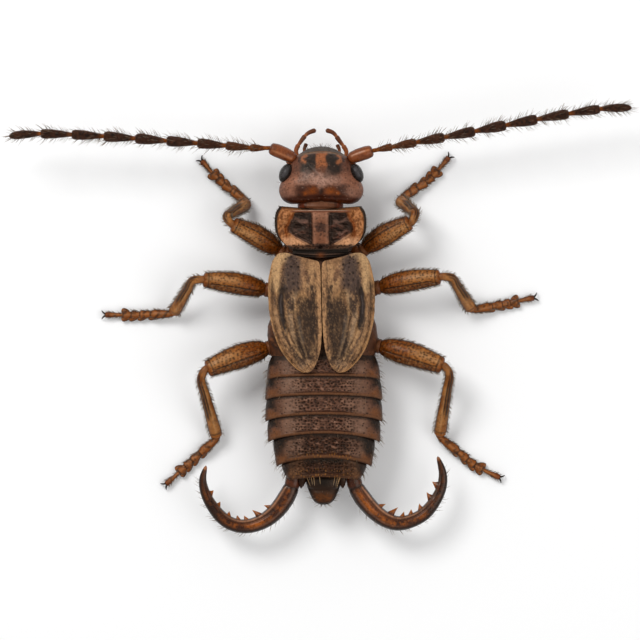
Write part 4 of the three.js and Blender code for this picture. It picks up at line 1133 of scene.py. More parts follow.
abdomen_rings = []
for k in range(len(RINGS)):
    rings, x, share, side = ring_grid(k)
    d, z = np.abs(x), rings[..., 2]
    dark = k > 3
    last = k == len(RINGS) - 1
    above = step(z, 2.4, 3.0)
    lumps = cloud(rings * [0.8, 1.6, 1], 0.2, 60 + k, 2)
    soft = cloud(rings, 0.7, 70 + k)
    fine = cloud(rings, 0.1, 75 + k, 2)
    rugose = fade(d + 0.3 * soft, 1.5, 2.4) * band(share, 0.12, 0.82, 0.07) * above
    flank = (1 - rugose) * band(share, 0.1, 0.9, 0.06) * above
    pits = dimples(rings, 0.19, 90 + k, 0.42)
    small = dimples(rings, 0.3, 130 + k, 0.2) * flank
    height = (0.06 * lumps - 0.09 * pits) * rugose + 0.015 * fine * flank - 0.03 * small
    height -= 0.05 * ridge(share, 0.84, 0.022) * fade(d, 1.5, 2.1) * above
    height += 0.03 * ridge(share, 0.9, 0.04) * above

    tint = coat_of(x.shape, (62, 34, 20) if dark else (96, 66, 52))
    if not last:
        # A painted sheen on the upper flanks, and on the wrinkles a painted highlight on the raised lumps
        # and painted shade between them.
        shoulder_sheen = band(d, 1.3, 2.6, 0.35) * band(share, 0.1, 0.82, 0.12)
        paint(tint, (128, 100, 84), 0.8 * shoulder_sheen * (0.65 + 0.6 * soft))
        paint(tint, (142, 108, 90), 0.65 * rugose * step(lumps, 0.1, 0.5))
        paint(tint, (50, 30, 22), 0.6 * rugose * step(-lumps, 0.1, 0.5))
    paint(tint, (36, 22, 17), 0.9 * rugose * pits)
    paint(tint, (30, 20, 16), 0.8 * small)
    paint(tint, (34, 22, 18), 0.85 * fade(share + 0.06 * soft, 0.06, 0.22))
    paint(tint, (24, 17, 15), 0.95 * step(side, 0.76, 0.92) * fade(share + 0.3 * soft, 0.3, 0.62))
    rear_side = step(side + 0.05 * fine, 0.72, 0.88) * step(share + 0.3 * soft + 0.1 * fine, 0.5, 0.8)
    paint(tint, (114, 72, 42), 0.85 * rear_side)
    paint(tint, (108, 72, 46), 0.85 * step(share + 0.03 * fine, 0.86, 0.9) * (not last))
    paint(tint, (58, 26, 8), 0.9 * ridge(share, 0.85, 0.035) * fade(d, 1.4, 2.1))
    paint(tint, (60, 34, 18), 0.8 * step(share, 0.95, 0.99))
    if last:
        paint(tint, (104, 74, 52), 0.8 * band(d, 1.2, 2.2, 0.2) * (0.6 + soft))
        paint(tint, (16, 8, 5), 0.9 * fade(d, 0.7, 1.5) * fade(share, 0.12, 0.45))
        paint(tint, (84, 54, 34), 0.7 * step(share + 0.1 * fine, 0.75, 0.92))
        paint(tint, (60, 34, 14), 0.6 * step(fine, 0.0, 0.4))
    if dark:
        rise = (0.3, 0.8) if last else (0.62, 0.9)
        dashes = dimples(rings * [1, 0.55, 1], 0.17, 140 + k, 0.26) * step(share, *rise)
        paint(tint, (150, 104, 50), 0.75 * dashes * fade(d, 1.4, 2.3) * above)
    paint(tint, (140, 100, 66), 0.16 * step(-fine, 0.2, 0.5) * above)
    paint(tint, (88, 56, 34), 0.6 * fade(z, 1.6, 2.4))
    paint(tint, (40, 24, 16), 0.6 * ridge(z, 2.7, 0.5) * step(side, 0.9, 0.98))
    tint[..., 3] = 0.25 + 0.75 * rugose + 0.2 * (1 - above)
    shell = closed_shell(raised(rings, height), tint)
    add_piece(f"abdomen_skin_{k + 1}", shell, ring_horn, [f"abdomen_{k + 1}"])
    abdomen_rings.append(rings)
print("abdomen rings:", len(abdomen_rings))

# %% [markdown]
# The end plate lies between the pincers: a dark, blunt tongue with an amber tip and a thin black rim. Two
# small dark points stand beside it.

# %% End plate
END_PLATE = [
    (-9.7, 1.0, 3.1, 1.9), (-10.0, 1.1, 3.22, 1.84), (-10.3, 1.06, 3.22, 1.84), (-10.65, 0.95, 3.14, 1.92),
    (-11.0, 0.81, 3.04, 2.0), (-11.28, 0.66, 2.95, 2.08), (-11.46, 0.48, 2.86, 2.18),
    (-11.56, 0.26, 2.72, 2.3), (-11.58, 0.1, 2.6, 2.42),
]
POINT_SIZES = [(0, 0.3), (0.5, 0.26), (0.85, 0.12), (1, 0.02)]

end_rings = trunk_rings(END_PLATE, 80, 100)
x, y, z = from_axis(end_rings)
side = np.abs(x) / np.abs(x).max(axis=1, keepdims=True)
fine = cloud(end_rings, 0.12, 151, 2)
tint = coat_of(x.shape, (46, 28, 18), 0.4)
paint(tint, (16, 10, 8), 0.9 * ridge(x, 0, 0.45) * step(y, -10.6, -10.2))
paint(tint, (66, 54, 46), 0.6 * ridge(np.abs(x), 0.6, 0.18) * step(y, -10.5, -10.2))
amber = ridge(y, -11.14, 0.28) * fade(side, 0.55, 0.9) * (1 - 0.5 * step(fine, 0, 0.4))
paint(tint, (104, 60, 24), 0.85 * amber)
paint(tint, (22, 11, 7), 0.9 * step(side, 0.82, 0.97))
paint(tint, (22, 11, 7), 0.9 * fade(y + 0.35 * x * x, -11.5, -11.4))
height = -0.08 * ridge(y, -10.72 + 0.1 * x * x, 0.12) * step(z, 2.6, 2.9)
shells = [closed_shell(raised(end_rings, height), tint)]
for hand in SIDES.values():
    way = [(hand * 1.2, -9.7, 2.6), (hand * 1.26, -10.2, 2.55), (hand * 1.3, -10.58, 2.5)]
    point = limb_rings(way, POINT_SIZES, 20, 20)
    shells.append(closed_shell(point, coat_of(point.shape[:2], (54, 30, 16), 0.4)))
add_piece("end_plate_skin", joined(shells), ring_horn, ["end_plate"])

# %% [markdown]
# ## Pincers
#
# A pincer is a polished horn carried along its curve. Its section has a rounded outer side and a ridge on
# the inner one, with a groove beside the ridge. A painted highlight runs along the ridge's crest and a
# fainter one along the upper outer side. The teeth are short bent cones that lean towards the tip. They grow
# out of the ridge, so each root is sunk into the blade.

# %% Pincers
PINCERS = {
    "left": {
        "axis": [(-1.74, -9.7, 2.4), (-1.87, -10.4, 2.32), (-2.24, -11.18, 2.2), (-2.82, -11.97, 2.1),
                 (-3.54, -12.56, 2.04), (-4.46, -12.91, 2.0), (-5.36, -12.88, 2.0), (-6.15, -12.47, 2.02),
                 (-6.84, -11.66, 2.08), (-7.27, -10.8, 2.14), (-7.4, -9.98, 2.22), (-7.2, -9.18, 2.3)],
        "teeth": (0.8, 0.94, 0.68, 0.64, 0.62, 0.58, 0.54),
        "hand": 1,
    },
    "right": {
        "axis": [(1.9, -9.7, 2.4), (2.05, -10.36, 2.32), (2.41, -11.02, 2.22), (2.87, -11.62, 2.14),
                 (3.43, -12.18, 2.06), (4.06, -12.58, 2.02), (4.76, -12.76, 2.0), (5.56, -12.6, 2.0),
                 (6.36, -12.16, 2.02), (7.0, -11.4, 2.08), (7.43, -10.5, 2.14), (7.49, -9.6, 2.2),
                 (7.18, -8.6, 2.28)],
        "teeth": (0.82, 1.02, 0.7, 0.68, 0.7, 0.74, 0.66),
        "hand": -1,
    },
}
TOOTH_PLACES = (0.27, 0.37, 0.465, 0.53, 0.61, 0.715, 0.81)
TOOTH_SINK = 0.12
PINCER_SIZES = [
    (0, 0.42), (0.03, 0.46), (0.06, 0.48), (0.078, 0.47), (0.1, 0.51), (0.16, 0.55), (0.25, 0.53),
    (0.35, 0.49), (0.45, 0.45), (0.55, 0.42), (0.65, 0.4), (0.75, 0.35), (0.85, 0.29), (0.93, 0.21),
    (0.97, 0.15), (0.99, 0.1), (1, 0.03),
]


def tooth_shell(at, into, way, up, reach, n=26, m=24):
    """One thorn: a cone whose wide foot is sunk in the ridge, bent towards the pincer's tip. The foot is
    over twice as long along the blade as it is high."""
    t = np.linspace(0, 1, n)[:, None, None]
    turn = turns(m)[None, :, None]
    path = at + into * (TOOTH_SINK + t * (reach - TOOTH_SINK)) + way * (0.34 * reach * t**1.6 - 0.06)
    path = path + up * 0.05
    radius = 0.2 * (1 - t) ** 0.9 + 0.04 * (1 - t**4) + 0.002
    long = 1 + 1.3 * (1 - t) ** 2
    rings = path + radius * (np.cos(turn) * way * long + np.sin(turn) * np.cross(way, into))
    tint = coat_of((n, m), (84, 42, 18), 0.3)
    paint(tint, (138, 80, 28), step(t[..., 0], 0.4, 0.6))
    paint(tint, (184, 132, 72), step(t[..., 0], 0.78, 0.98))
    return closed_shell(rings, tint)


def pincer_shell(axis, teeth, hand, n=300, m=72):
    """The blade and its teeth. The blade's half width is the table's, with a ridge where the ring faces
    inwards and a groove beside it. Inner is 1 on the side of the teeth and -1 on the other side."""
    rings = limb_rings(axis, PINCER_SIZES, n, m, 0.86)
    t = np.linspace(0, 1, n)[:, None]
    turn = turns(m)
    inner = np.cos(turn) * hand
    upper = (np.sin(turn) > 0) * 1.0
    lift = 0.07 * ridge(inner, 0.72, 0.16) * upper - 0.06 * ridge(inner, 0.42, 0.14) * upper
    along = step(t, 0.06, 0.14) * fade(t, 0.8, 0.95)
    blade = raised(rings, along * lift - 0.012 * ridge(t, 0.078, 0.008))
    soft = cloud(rings, 0.8, 80 + hand)
    fine = cloud(rings, 0.12, 82 + hand, 2)
    tint = coat_of((n, m), (58, 28, 13), 0.5)
    paint(tint, (164, 94, 30), 0.85 * ridge(inner, -0.05, 0.42) * upper * step(soft + 0.5 * fine, -0.4, 0.3))
    paint(tint, (34, 15, 8), 0.9 * step(-inner, 0.5, 0.8))
    paint(tint, (34, 16, 9), 0.85 * step(inner, 0.86, 0.98))
    # Painted highlights: a bright line along the ridge's crest and a fainter one along the upper outer side.
    paint(tint, (178, 132, 102), 0.75 * ridge(inner, 0.66, 0.08) * upper * (1 - 0.5 * step(t, 0.5, 0.8)))
    paint(tint, (120, 92, 78), 0.5 * ridge(inner, -0.42, 0.12) * upper * fade(t, 0.35, 0.6))
    paint(tint, (84, 40, 17), 0.9 * fade(t, 0.06, 0.085))
    paint(tint, (40, 18, 10), 0.9 * ridge(t, 0.08, 0.012))
    paint(tint, (34, 16, 9), 0.65 * step(t, 0.45, 0.8))
    paint(tint, (30, 14, 8), 0.45 * step(fine, 0.15, 0.5))
    paint(tint, (150, 100, 66), 0.8 * step(t, 0.968, 0.985))
    shells = [closed_shell(blade, tint)]
    at, side, up, way = path_frames(axis, n)
    for share, reach in zip(TOOTH_PLACES, teeth):
        i = int(share * (n - 1))
        shells.append(tooth_shell(at[i], hand * side[i], way[i], up[i], reach))
    return joined(shells), blade


pincer_blades = {}
for side, spec in PINCERS.items():
    shell, pincer_blades[side] = pincer_shell(spec["axis"], spec["teeth"], spec["hand"])
    add_piece(f"pincer_skin_{side}", shell, pincer_horn, [f"pincer_{side}"])

# %% [markdown]
# ## Legs
#
# Each leg has a hip, a swollen thigh, a bent shin that widens to its foot, and a foot of four padded joints
# and a slim claw joint. The same functions make every leg from seven places seen from above. The hind
# thighs are a little thicker, and each leg has seeds of its own for its markings.

# %% Places of the legs
# Each leg is its root, hip, knee, the bend of its shin, ankle, a place on its foot, and its tip.
LEGS = {
    "fore_left": [(-1.25, 4.7), (-2.6, 4.2), (-5.54, 5.82), (-5.9, 6.3), (-4.67, 7.14), (-6.3, 8.48),
                  (-7.54, 9.84)],
    "fore_right": [(1.2, 4.7), (2.6, 4.32), (5.48, 5.94), (5.78, 6.52), (4.86, 7.32), (6.7, 8.64),
                   (7.95, 10.06)],
    "mid_left": [(-1.6, 1.33), (-3.5, 1.76), (-7.36, 2.37), (-8.03, 2.3), (-9.24, 0.34), (-11.8, 0.2),
                 (-13.56, 0.2)],
    "mid_right": [(1.6, 1.4), (3.56, 1.9), (7.34, 2.54), (8.08, 2.46), (9.3, 0.56), (11.7, 0.94),
                  (13.27, 1.28)],
    "hind_left": [(-1.7, -1.14), (-3.4, -1.88), (-7.14, -3.18), (-7.5, -3.84), (-6.56, -7.4),
                  (-8.5, -9.26), (-9.76, -10.4)],
    "hind_right": [(1.8, -1.04), (3.6, -1.76), (7.5, -2.97), (7.9, -3.56), (7.33, -7.3), (9.6, -9.22),
                   (11.14, -9.98)],
}
ROOT_Z, HIP_Z, KNEE_Z, BEND_Z, ANKLE_Z, SOLE_Z = 1.4, 1.95, 2.95, 2.85, 0.74, 0.3
HIP_SIZES = [(0, 0.42), (0.35, 0.58), (0.7, 0.56), (0.86, 0.44), (0.93, 0.46), (1, 0.34)]
THIGH_SIZES = [
    (0, 0.34), (0.05, 0.44), (0.15, 0.56), (0.3, 0.65), (0.45, 0.67), (0.6, 0.64), (0.75, 0.58),
    (0.88, 0.51), (0.95, 0.48), (0.985, 0.44), (1, 0.3),
]
HIND_THIGH = 1.12
SHIN_SIZES = [
    (0, 0.18), (0.04, 0.23), (0.1, 0.25), (0.25, 0.28), (0.5, 0.32), (0.75, 0.37), (0.92, 0.4),
    (0.98, 0.36), (1, 0.22),
]
LEG_TAN, LEG_AMBER, LEG_DARK = (146, 92, 40), (118, 62, 10), (34, 16, 6)


def tube_grid(points, sizes, n, m, flat=1.0):
    """A limb's rings with the share along it and the angle round it as grids."""
    t, turn = np.meshgrid(np.linspace(0, 1, n), turns(m), indexing="ij")
    return limb_rings(points, sizes, n, m, flat), t, turn


def thigh_shell(hip, knee, bend_side, big, seed):
    """The thigh: a spindle bowed forwards. A dark crease runs along it on the side that the shin folds
    towards, and rows of dark specks lie on the pale band beyond it."""
    middle = (hip + knee) / 2 + np.array([0, 0.1, 0.1])
    sizes = [(t, r * big) for t, r in THIGH_SIZES]
    rings, t, turn = tube_grid([hip, middle, knee], sizes, 140, 72, 0.86)
    across = np.cos(turn) * bend_side
    upper = step(np.sin(turn), -0.1, 0.2)
    crease = ridge(across, 0.34 + 0.1 * t, 0.075) * upper * band(t, 0.08, 0.9, 0.05)
    edge = (ridge(across, 0.9, 0.08) + ridge(across, -0.9, 0.08)) * band(t, 0.08, 0.95, 0.05)
    soft, fine = cloud(rings, 0.6, seed), cloud(rings, 0.1, seed + 1, 2)
    height = 0.03 * edge - 0.06 * crease + 0.02 * ridge(across, 0.48, 0.08) * upper
    height = height - 0.06 * ridge(np.cos(turn), 0, 0.25) * upper * step(t, 0.93, 0.99)
    height = height + 0.012 * cloud(rings, 0.2, seed + 2, 2)
    tint = coat_of(t.shape, LEG_TAN)
    paint(tint, LEG_AMBER, 0.85 * fade(t + 0.25 * soft, 0.25, 0.6))
    paint(tint, LEG_AMBER, 0.55 * step(soft, 0.05, 0.4))
    paint(tint, (172, 130, 88), 0.8 * ridge(across, -0.28, 0.34) * upper * step(t + 0.2 * soft, 0.35, 0.7))
    paint(tint, (98, 58, 30), 0.7 * step(across, 0.42, 0.62) * upper)
    paint(tint, LEG_DARK, crease)
    line = ridge(across, -0.66, 0.06) * upper * band(t, 0.15, 0.8, 0.1)
    paint(tint, LEG_DARK, 0.7 * line * step(soft, -0.3, 0.2))
    paint(tint, LEG_DARK, 0.8 * dimples(np.stack([t * 2.3, across * 0.62], -1), 0.14, seed + 5, 0.4) * upper)
    paint(tint, LEG_DARK, 0.2 * step(fine, 0.1, 0.45))
    paint(tint, (190, 146, 98), 0.25 * step(-fine, 0.2, 0.5) * upper)
    # Painted shade: the flanks and underside of the thigh darkened.
    paint(tint, LEG_DARK, 0.85 * fade(np.sin(turn), 0.3, 0.66))
    paint(tint, (104, 62, 34), 0.5 * fade(np.sin(turn), -0.7, -0.2))
    paint(tint, LEG_AMBER, 0.7 * step(t, 0.94, 0.98))
    paint(tint, LEG_DARK, 0.8 * fade(t, 0.015, 0.05) + 0.7 * ridge(t, 0.93, 0.012))
    return closed_shell(raised(rings, height), tint), rings


def shin_shell(knee, bend, ankle, thigh_way, bend_side, seed):
    """The shin: it leaves the knee along the thigh, bends, and widens towards the foot. Two dark streaks
    run down its first half."""
    path = [knee - 0.2 * thigh_way, knee + 0.14 * thigh_way, bend]
    path += [bend * 0.75 + ankle * 0.25, bend * 0.5 + ankle * 0.5, ankle]
    rings, t, turn = tube_grid(path, SHIN_SIZES, 130, 60, 0.9)
    across = np.cos(turn) * bend_side
    upper = step(np.sin(turn), -0.1, 0.2)
    soft, fine = cloud(rings, 0.6, seed), cloud(rings, 0.1, seed + 1, 2)
    keel = ridge(across, -0.35, 0.12) * upper * band(t, 0.15, 0.85, 0.1)
    tint = coat_of(t.shape, (158, 108, 60))
    paint(tint, LEG_AMBER, 0.7 * step(soft, 0.0, 0.4))
    paint(tint, (182, 138, 92), 0.6 * ridge(across, 0.15, 0.25) * upper * band(t, 0.3, 0.9, 0.1))
    streak = ridge(across, -0.52, 0.22) * band(t, 0.14, 0.7, 0.08)
    streak = streak + ridge(across, -0.02, 0.13) * band(t, 0.2, 0.66, 0.1)
    paint(tint, LEG_DARK, 0.9 * np.clip(1.6 * streak, 0, 1) * upper)
    paint(tint, LEG_DARK, 0.7 * dimples(np.stack([t * 4, across * 0.3], -1), 0.13, seed + 5, 0.24) * upper)
    paint(tint, LEG_DARK, 0.25 * step(fine, 0.12, 0.5))
    # Painted shade on the flanks and underside of the shin.
    paint(tint, LEG_DARK, 0.8 * fade(np.sin(turn), 0.3, 0.66))
    paint(tint, (146, 88, 32), 0.8 * step(t, 0.9, 0.97) * upper)
    paint(tint, LEG_DARK, 0.6 * ridge(t, 0.93, 0.012))
    paint(tint, (120, 76, 46), 0.7 * fade(t, 0.06, 0.14))
    return closed_shell(raised(rings, 0.03 * keel + 0.01 * fine), tint), rings


# %% [markdown]
# The foot has five joints. The first three each send a flat lobe to one side, the fourth is a heart of
# two lobes, and the slim fifth carries two claws. The lobes are flattened fingers that start inside the
# foot's rod, so they overlap like tiles, as the soft soles of the real foot do.

# %% Feet
PAD_ENDS = (0.37, 0.52, 0.64, 0.75)
LOBE_WAYS = (0.16, 0.2, 0.24, 0.3)
LOBE_LENGTHS = (0.52, 0.52, 0.52, 0.46)
LOBE_SIZES = [(0, 0.13), (0.35, 0.18), (0.7, 0.19), (0.88, 0.16), (0.96, 0.1), (1, 0.03)]
CLAW_SIZES = [(0, 0.08), (0.4, 0.055), (0.8, 0.035), (1, 0.008)]
SPINE_SIZES = [(0, 0.05), (0.5, 0.035), (1, 0.006)]
LOBE_Z, CLAW_Z, FLOOR_GAP = 0.16, 0.06, 0.004
FOOT_BROWN, FOOT_DARK = (130, 74, 24), (42, 20, 8)
FOOT_SIZES = [(0, 0.14), (0.04, 0.15)]
for start, end in zip((0.0, *PAD_ENDS), PAD_ENDS):
    long = end - start
    FOOT_SIZES += [(start + 0.4 * long, 0.24), (start + 0.85 * long, 0.3), (end + 0.004, 0.2)]
FOOT_SIZES += [(PAD_ENDS[-1] + 0.02, 0.11), (0.86, 0.13), (0.94, 0.18), (0.985, 0.17), (1, 0.03)]


def lobe_shell(root, way, away, length, seed):
    """A flat finger: a tube from its root along way and away, rounded at its end, low over the floor."""
    end_at = root + length * way + length * away
    end_at[2] = LOBE_Z
    middle = (root + end_at) / 2 + 0.06 * away + [0, 0, 0.03]
    rings, t, turn = tube_grid([root, middle, end_at], LOBE_SIZES, 30, 20, 0.8)
    tint = coat_of(t.shape, FOOT_BROWN)
    # Painted shade on the lobe's flanks and underside, and a painted highlight along its top.
    paint(tint, FOOT_DARK, 0.9 * fade(np.sin(turn), 0.4, 0.85))
    painted_highlight = ridge(np.cos(turn), 0.1, 0.3) * (np.sin(turn) > 0) * step(t, 0.3, 0.6)
    paint(tint, (168, 118, 78), 0.5 * painted_highlight)
    paint(tint, FOOT_DARK, 0.5 * step(cloud(rings, 0.16, seed), 0.0, 0.4))
    return closed_shell(rings, tint)


def foot_shells(ankle, foot, tip, shin_way, hand, lobe_hand, seed):
    """The whole foot as one mesh: the jointed rod, its lobes, the claws and the spine of the shin. No point
    of it comes nearer to the floor than FLOOR_GAP."""
    on_floor = [np.array([*place, SOLE_Z]) for place in (foot, tip)]
    below = ankle + 0.1 * shin_way
    instep = below * 0.45 + on_floor[0] * 0.55
    instep[2] = SOLE_Z + 0.12
    path = [ankle - 0.12 * shin_way, below, instep, *on_floor]
    rings, t, turn = tube_grid(path, FOOT_SIZES, 180, 36, 0.85)
    upper = np.sin(turn) > 0
    tint = coat_of(t.shape, FOOT_BROWN)
    # A painted highlight along the top of the rod, and painted shade on its flanks and underside.
    paint(tint, (166, 116, 76), 0.6 * ridge(np.cos(turn), 0.1, 0.35) * upper)
    paint(tint, FOOT_DARK, 0.7 * step(cloud(rings, 0.18, seed), -0.05, 0.35))
    paint(tint, FOOT_DARK, 0.85 * fade(np.sin(turn), 0.3, 0.7))
    for end in PAD_ENDS:
        paint(tint, FOOT_DARK, 0.8 * ridge(t, end, 0.01))
    paint(tint, (104, 48, 16), 0.6 * step(t, 0.9, 0.96) * upper)
    shells = [closed_shell(rings, tint)]
    at, side, _, way = path_frames(path, 200)
    for k, end in enumerate(PAD_ENDS):
        i = int(end * 199)
        for out in (lobe_hand,) if k < 3 else (1, -1):
            away = side[i] * out
            root = at[i] - 0.34 * way[i] + away * 0.14
            ways = way[i] * np.cos(LOBE_WAYS[k]), away * np.sin(LOBE_WAYS[k])
            shells.append(lobe_shell(root, *ways, LOBE_LENGTHS[k], seed + k))
    for out in SIDES.values():
        root = at[-8]
        middle = root + way[-1] * 0.22 + side[-1] * out * 0.12 + np.array([0, 0, 0.06])
        end_at = root + way[-1] * 0.36 + side[-1] * out * 0.28
        end_at[2] = CLAW_Z
        claw, t, _ = tube_grid([root, middle, end_at], CLAW_SIZES, 18, 10)
        shells.append(closed_shell(claw, coat_of(t.shape, (34, 22, 16), 0.2)))
    root = ankle - side[2] * hand * 0.2
    spine_path = [root, root + 0.22 * shin_way, root + 0.5 * shin_way + [0, 0, -0.02]]
    spine, t, _ = tube_grid(spine_path, SPINE_SIZES, 12, 8)
    shells.append(closed_shell(spine, coat_of(t.shape, (40, 26, 20), 0.2)))
    shell = joined(shells)
    shell[0][:, 2] = np.maximum(shell[0][:, 2], FLOOR_GAP)
    return shell, rings


# %% All six legs
LEG_NODES = {"hip": "coxa", "thigh": "femur", "shin": "tibia", "foot": "foot"}
leg_rings = {}
for number, (name, places) in enumerate(LEGS.items()):
    heights = (ROOT_Z, HIP_Z, KNEE_Z, BEND_Z, ANKLE_Z)
    root, hip, knee, bend, ankle = (np.array([*p, h]) for p, h in zip(places, heights))
    thigh_way = (knee - hip) / np.linalg.norm(knee - hip)
    shin_way = (ankle - bend) / np.linalg.norm(ankle - bend)
    hand = 1 if name.endswith("left") else -1
    bend_side = -np.sign(np.cross(thigh_way, shin_way)[2])
    seed = 200 + 10 * number
    coxa, t, turn = tube_grid([root, hip - 0.45 * thigh_way, hip + 0.14 * thigh_way], HIP_SIZES, 70, 48)
    tint = coat_of(t.shape, (104, 58, 26))
    paint(tint, (160, 116, 84), 0.7 * ridge(t, 0.9, 0.03) * ridge(np.cos(turn), 0, 0.6))
    # Painted shade on the hip's flanks and underside, and a dark ring at its joint.
    paint(tint, LEG_DARK, 0.6 * fade(np.sin(turn), 0.1, 0.6) + 0.6 * ridge(t, 0.84, 0.02))
    big = HIND_THIGH if name.startswith("hind") else 1.0
    thigh, thigh_rings = thigh_shell(hip, knee, bend_side, big, seed)
    shin, shin_rings = shin_shell(knee, bend, ankle, thigh_way, bend_side, seed + 3)
    lobe_hand = hand if name.startswith("fore") else -hand
    foot, foot_rings = foot_shells(ankle, places[5], places[6], shin_way, hand, lobe_hand, seed + 6)
    for (part, node), shell in zip(LEG_NODES.items(), (closed_shell(coxa, tint), thigh, shin, foot)):
        add_piece(f"{part}_skin_{name}", shell, leg_horn, [f"{node}_{name}"])
    leg_rings[name] = (thigh_rings, shin_rings, foot_rings)
print("legs:", len(leg_rings))

# %% [markdown]
# ## Bristles
#
# Stiff hairs stand on the feelers, legs, ring edges and pincers. Hair particles would be lighter, but the
# library wants solid meshes, so each bristle is a bent three-sided cone, sunk a little into the skin and
# tapered to a point. All bristles of a host are made at once: their roots, ways and lengths are arrays, and
# one pattern of faces is repeated over them. On the UV map a bristle is a small patch at its root's place
# on an unwrap of the host, share along by share round, and each host has its own cell of the map.

# %% A coat of bristles
BRISTLE_LEVELS = np.array([0.0, 0.5, 0.82])
BRISTLE_WIDTHS = np.array([1.0, 0.8, 0.45])
BRISTLE_POINTS = 3 * len(BRISTLE_LEVELS) + 2
BRISTLE_SINK, BRISTLE_BEND, BRISTLE_PATCH = 0.03, 0.22, 0.0015
TRIES = 40
GREY_HAIR = ((84, 66, 52), (150, 132, 112))
PALE_HAIR = ((150, 112, 74), (206, 178, 140))


def chosen_roots(host, count, weigh, chance):
    """Random places on a host's rings, as ring and point numbers and as shares. A place is kept when a
    random number is below its weight, a function of its point, its normal and its shares along and round."""
    tries = count * TRIES
    along = chance.permutation((np.arange(tries) + chance.random(tries)) / tries)
    around = chance.random(tries)
    i = (along * (host.shape[0] - 1)).astype(int)
    j = (around * host.shape[1]).astype(int)
    weight = weigh(host[i, j], outward(host)[i, j], along, around)
    kept = np.flatnonzero(chance.random(tries) < weight)[:count]
    return i[kept], j[kept], np.stack([along[kept], around[kept]], -1)


def bristle_coat(host, cell, count, weigh, long, stand, lay, colours, seed, wide):
    """The bristles of one host, and the unwrap of their points. A bristle's way is its normal times stand
    plus the host's way along times lay, with some chance, and its upper half bends with the host's way.
    Long is the shortest and the longest reach, and colours are those of the root and the tip."""
    chance = np.random.default_rng(seed)
    i, j, shares = chosen_roots(host, count, weigh, chance)
    total = len(i)
    normal = outward(host)[i, j]
    along = np.gradient(host, axis=0)[i, j]
    along /= np.linalg.norm(along, axis=1, keepdims=True) + 1e-12
    way = normal * stand + along * lay + 0.3 * (chance.random((total, 3)) - 0.5)
    way /= np.linalg.norm(way, axis=1, keepdims=True)
    reach = (long[0] + (long[1] - long[0]) * chance.random(total) ** 1.5)[:, None]
    helper = np.where(np.abs(way[:, 2:]) > 0.8, [[1.0, 0, 0]], [[0, 0, 1.0]])
    side = np.cross(way, helper)
    side /= np.linalg.norm(side, axis=1, keepdims=True)
    up = np.cross(side, way)
    root = host[i, j] - BRISTLE_SINK * normal

    def middle(t):
        """The bristles' centres at the share t of their reach."""
        return root + reach * t * way + BRISTLE_BEND * np.sign(lay) * reach * t * t * along

    turn = np.arange(3) * 2 * np.pi / 3
    centres = np.stack([middle(t) for t in BRISTLE_LEVELS], 1)[:, :, None]
    spokes = np.cos(turn)[:, None] * side[:, None, None] + np.sin(turn)[:, None] * up[:, None, None]
    rings = centres + wide * BRISTLE_WIDTHS[:, None, None] * spokes
    points = np.concatenate([rings.reshape(total, -1, 3), middle(0.0)[:, None], middle(1.0)[:, None]], 1)
    _, quads, tris, _ = closed_shell(np.zeros((3, 3, 3)), np.zeros((3, 3, 4)))
    moved = np.arange(total)[:, None, None] * BRISTLE_POINTS
    rise = np.concatenate([np.repeat(BRISTLE_LEVELS, 3), [0.0, 1.0]])[None, :, None]
    tint = np.ones((total, BRISTLE_POINTS, 4))
    shade = 0.75 + 0.5 * chance.random((total, 1, 1))
    tint[..., :3] = (srgb(*colours[0]) * (1 - rise) + srgb(*colours[1]) * rise) * shade
    spot = np.array(cell[:2]) + np.array(cell[2:]) * (0.02 + 0.96 * shares)
    wheel = np.tile(np.stack([np.cos(turn), np.sin(turn)], -1), (len(BRISTLE_LEVELS), 1))
    wheel = np.concatenate([wheel, np.zeros((2, 2))])
    unwrap = spot[:, None] + BRISTLE_PATCH * (1 - 0.9 * rise) * wheel
    quads, tris = (quads + moved).reshape(-1, 4), (tris + moved).reshape(-1, 3)
    return (points.reshape(-1, 3), quads, tris, tint.reshape(-1, 4)), unwrap.reshape(-1, 2)


def map_cell(number, total):
    """Corner and size of one of total equal cells of the UV map, counted along rows."""
    columns = int(np.ceil(np.sqrt(total)))
    rows = -(-total // columns)
    return (number % columns / columns, number // columns / rows, 1 / columns, 1 / rows)


def add_coat(name, coats):
    """One piece from the coats of several hosts, each with its own cell of the UV map. A coat is a host's
    rings and then what bristle_coat takes after the cell."""
    made = [bristle_coat(host, map_cell(k, len(coats)), *rest) for k, (host, *rest) in enumerate(coats)]
    shells, unwraps = zip(*made)
    shell = joined(shells)
    add_piece(name, shell, hair_horn, unwrap=np.concatenate(unwraps))
    print(name, len(shell[0]) // BRISTLE_POINTS, "bristles")

# %% [markdown]
# The feelers' bristles stand off half upright and lean to the tip. Those of the legs are short and lie
# closer, and they are thickest on the feet.

# %% Bristles of the feelers and the legs


def on_beads(points, normal, along, around):
    """Everywhere past the root, and more at the sides than above and below."""
    return step(along, 0.02, 0.08) * (0.45 + 0.55 * (1 - np.abs(normal[:, 2])))


def on_limb(points, normal, along, around):
    """Along the whole limb but its two ends, sparse on top and none below."""
    facing = 0.08 + 0.92 * fade(np.abs(normal[:, 2]), 0.2, 0.7)
    return (normal[:, 2] > -0.3) * band(along, 0.05, 0.97, 0.02) * facing


add_coat("feeler_bristles", [
    (whips[side], 560, on_beads, (0.34, 0.58), 0.85, 0.6, GREY_HAIR, 300 + k, 0.014)
    for k, side in enumerate(whips)
])

coats = []
for number, (thigh, shin, foot) in enumerate(leg_rings.values()):
    coats.append((thigh, 380, on_limb, (0.18, 0.3), 0.75, 0.7, GREY_HAIR, 320 + number, 0.013))
    coats.append((shin, 340, on_limb, (0.18, 0.32), 0.8, 0.6, GREY_HAIR, 340 + number, 0.013))
    coats.append((foot, 420, on_limb, (0.12, 0.24), 0.75, 0.8, GREY_HAIR, 360 + number, 0.012))
add_coat("leg_bristles", coats)

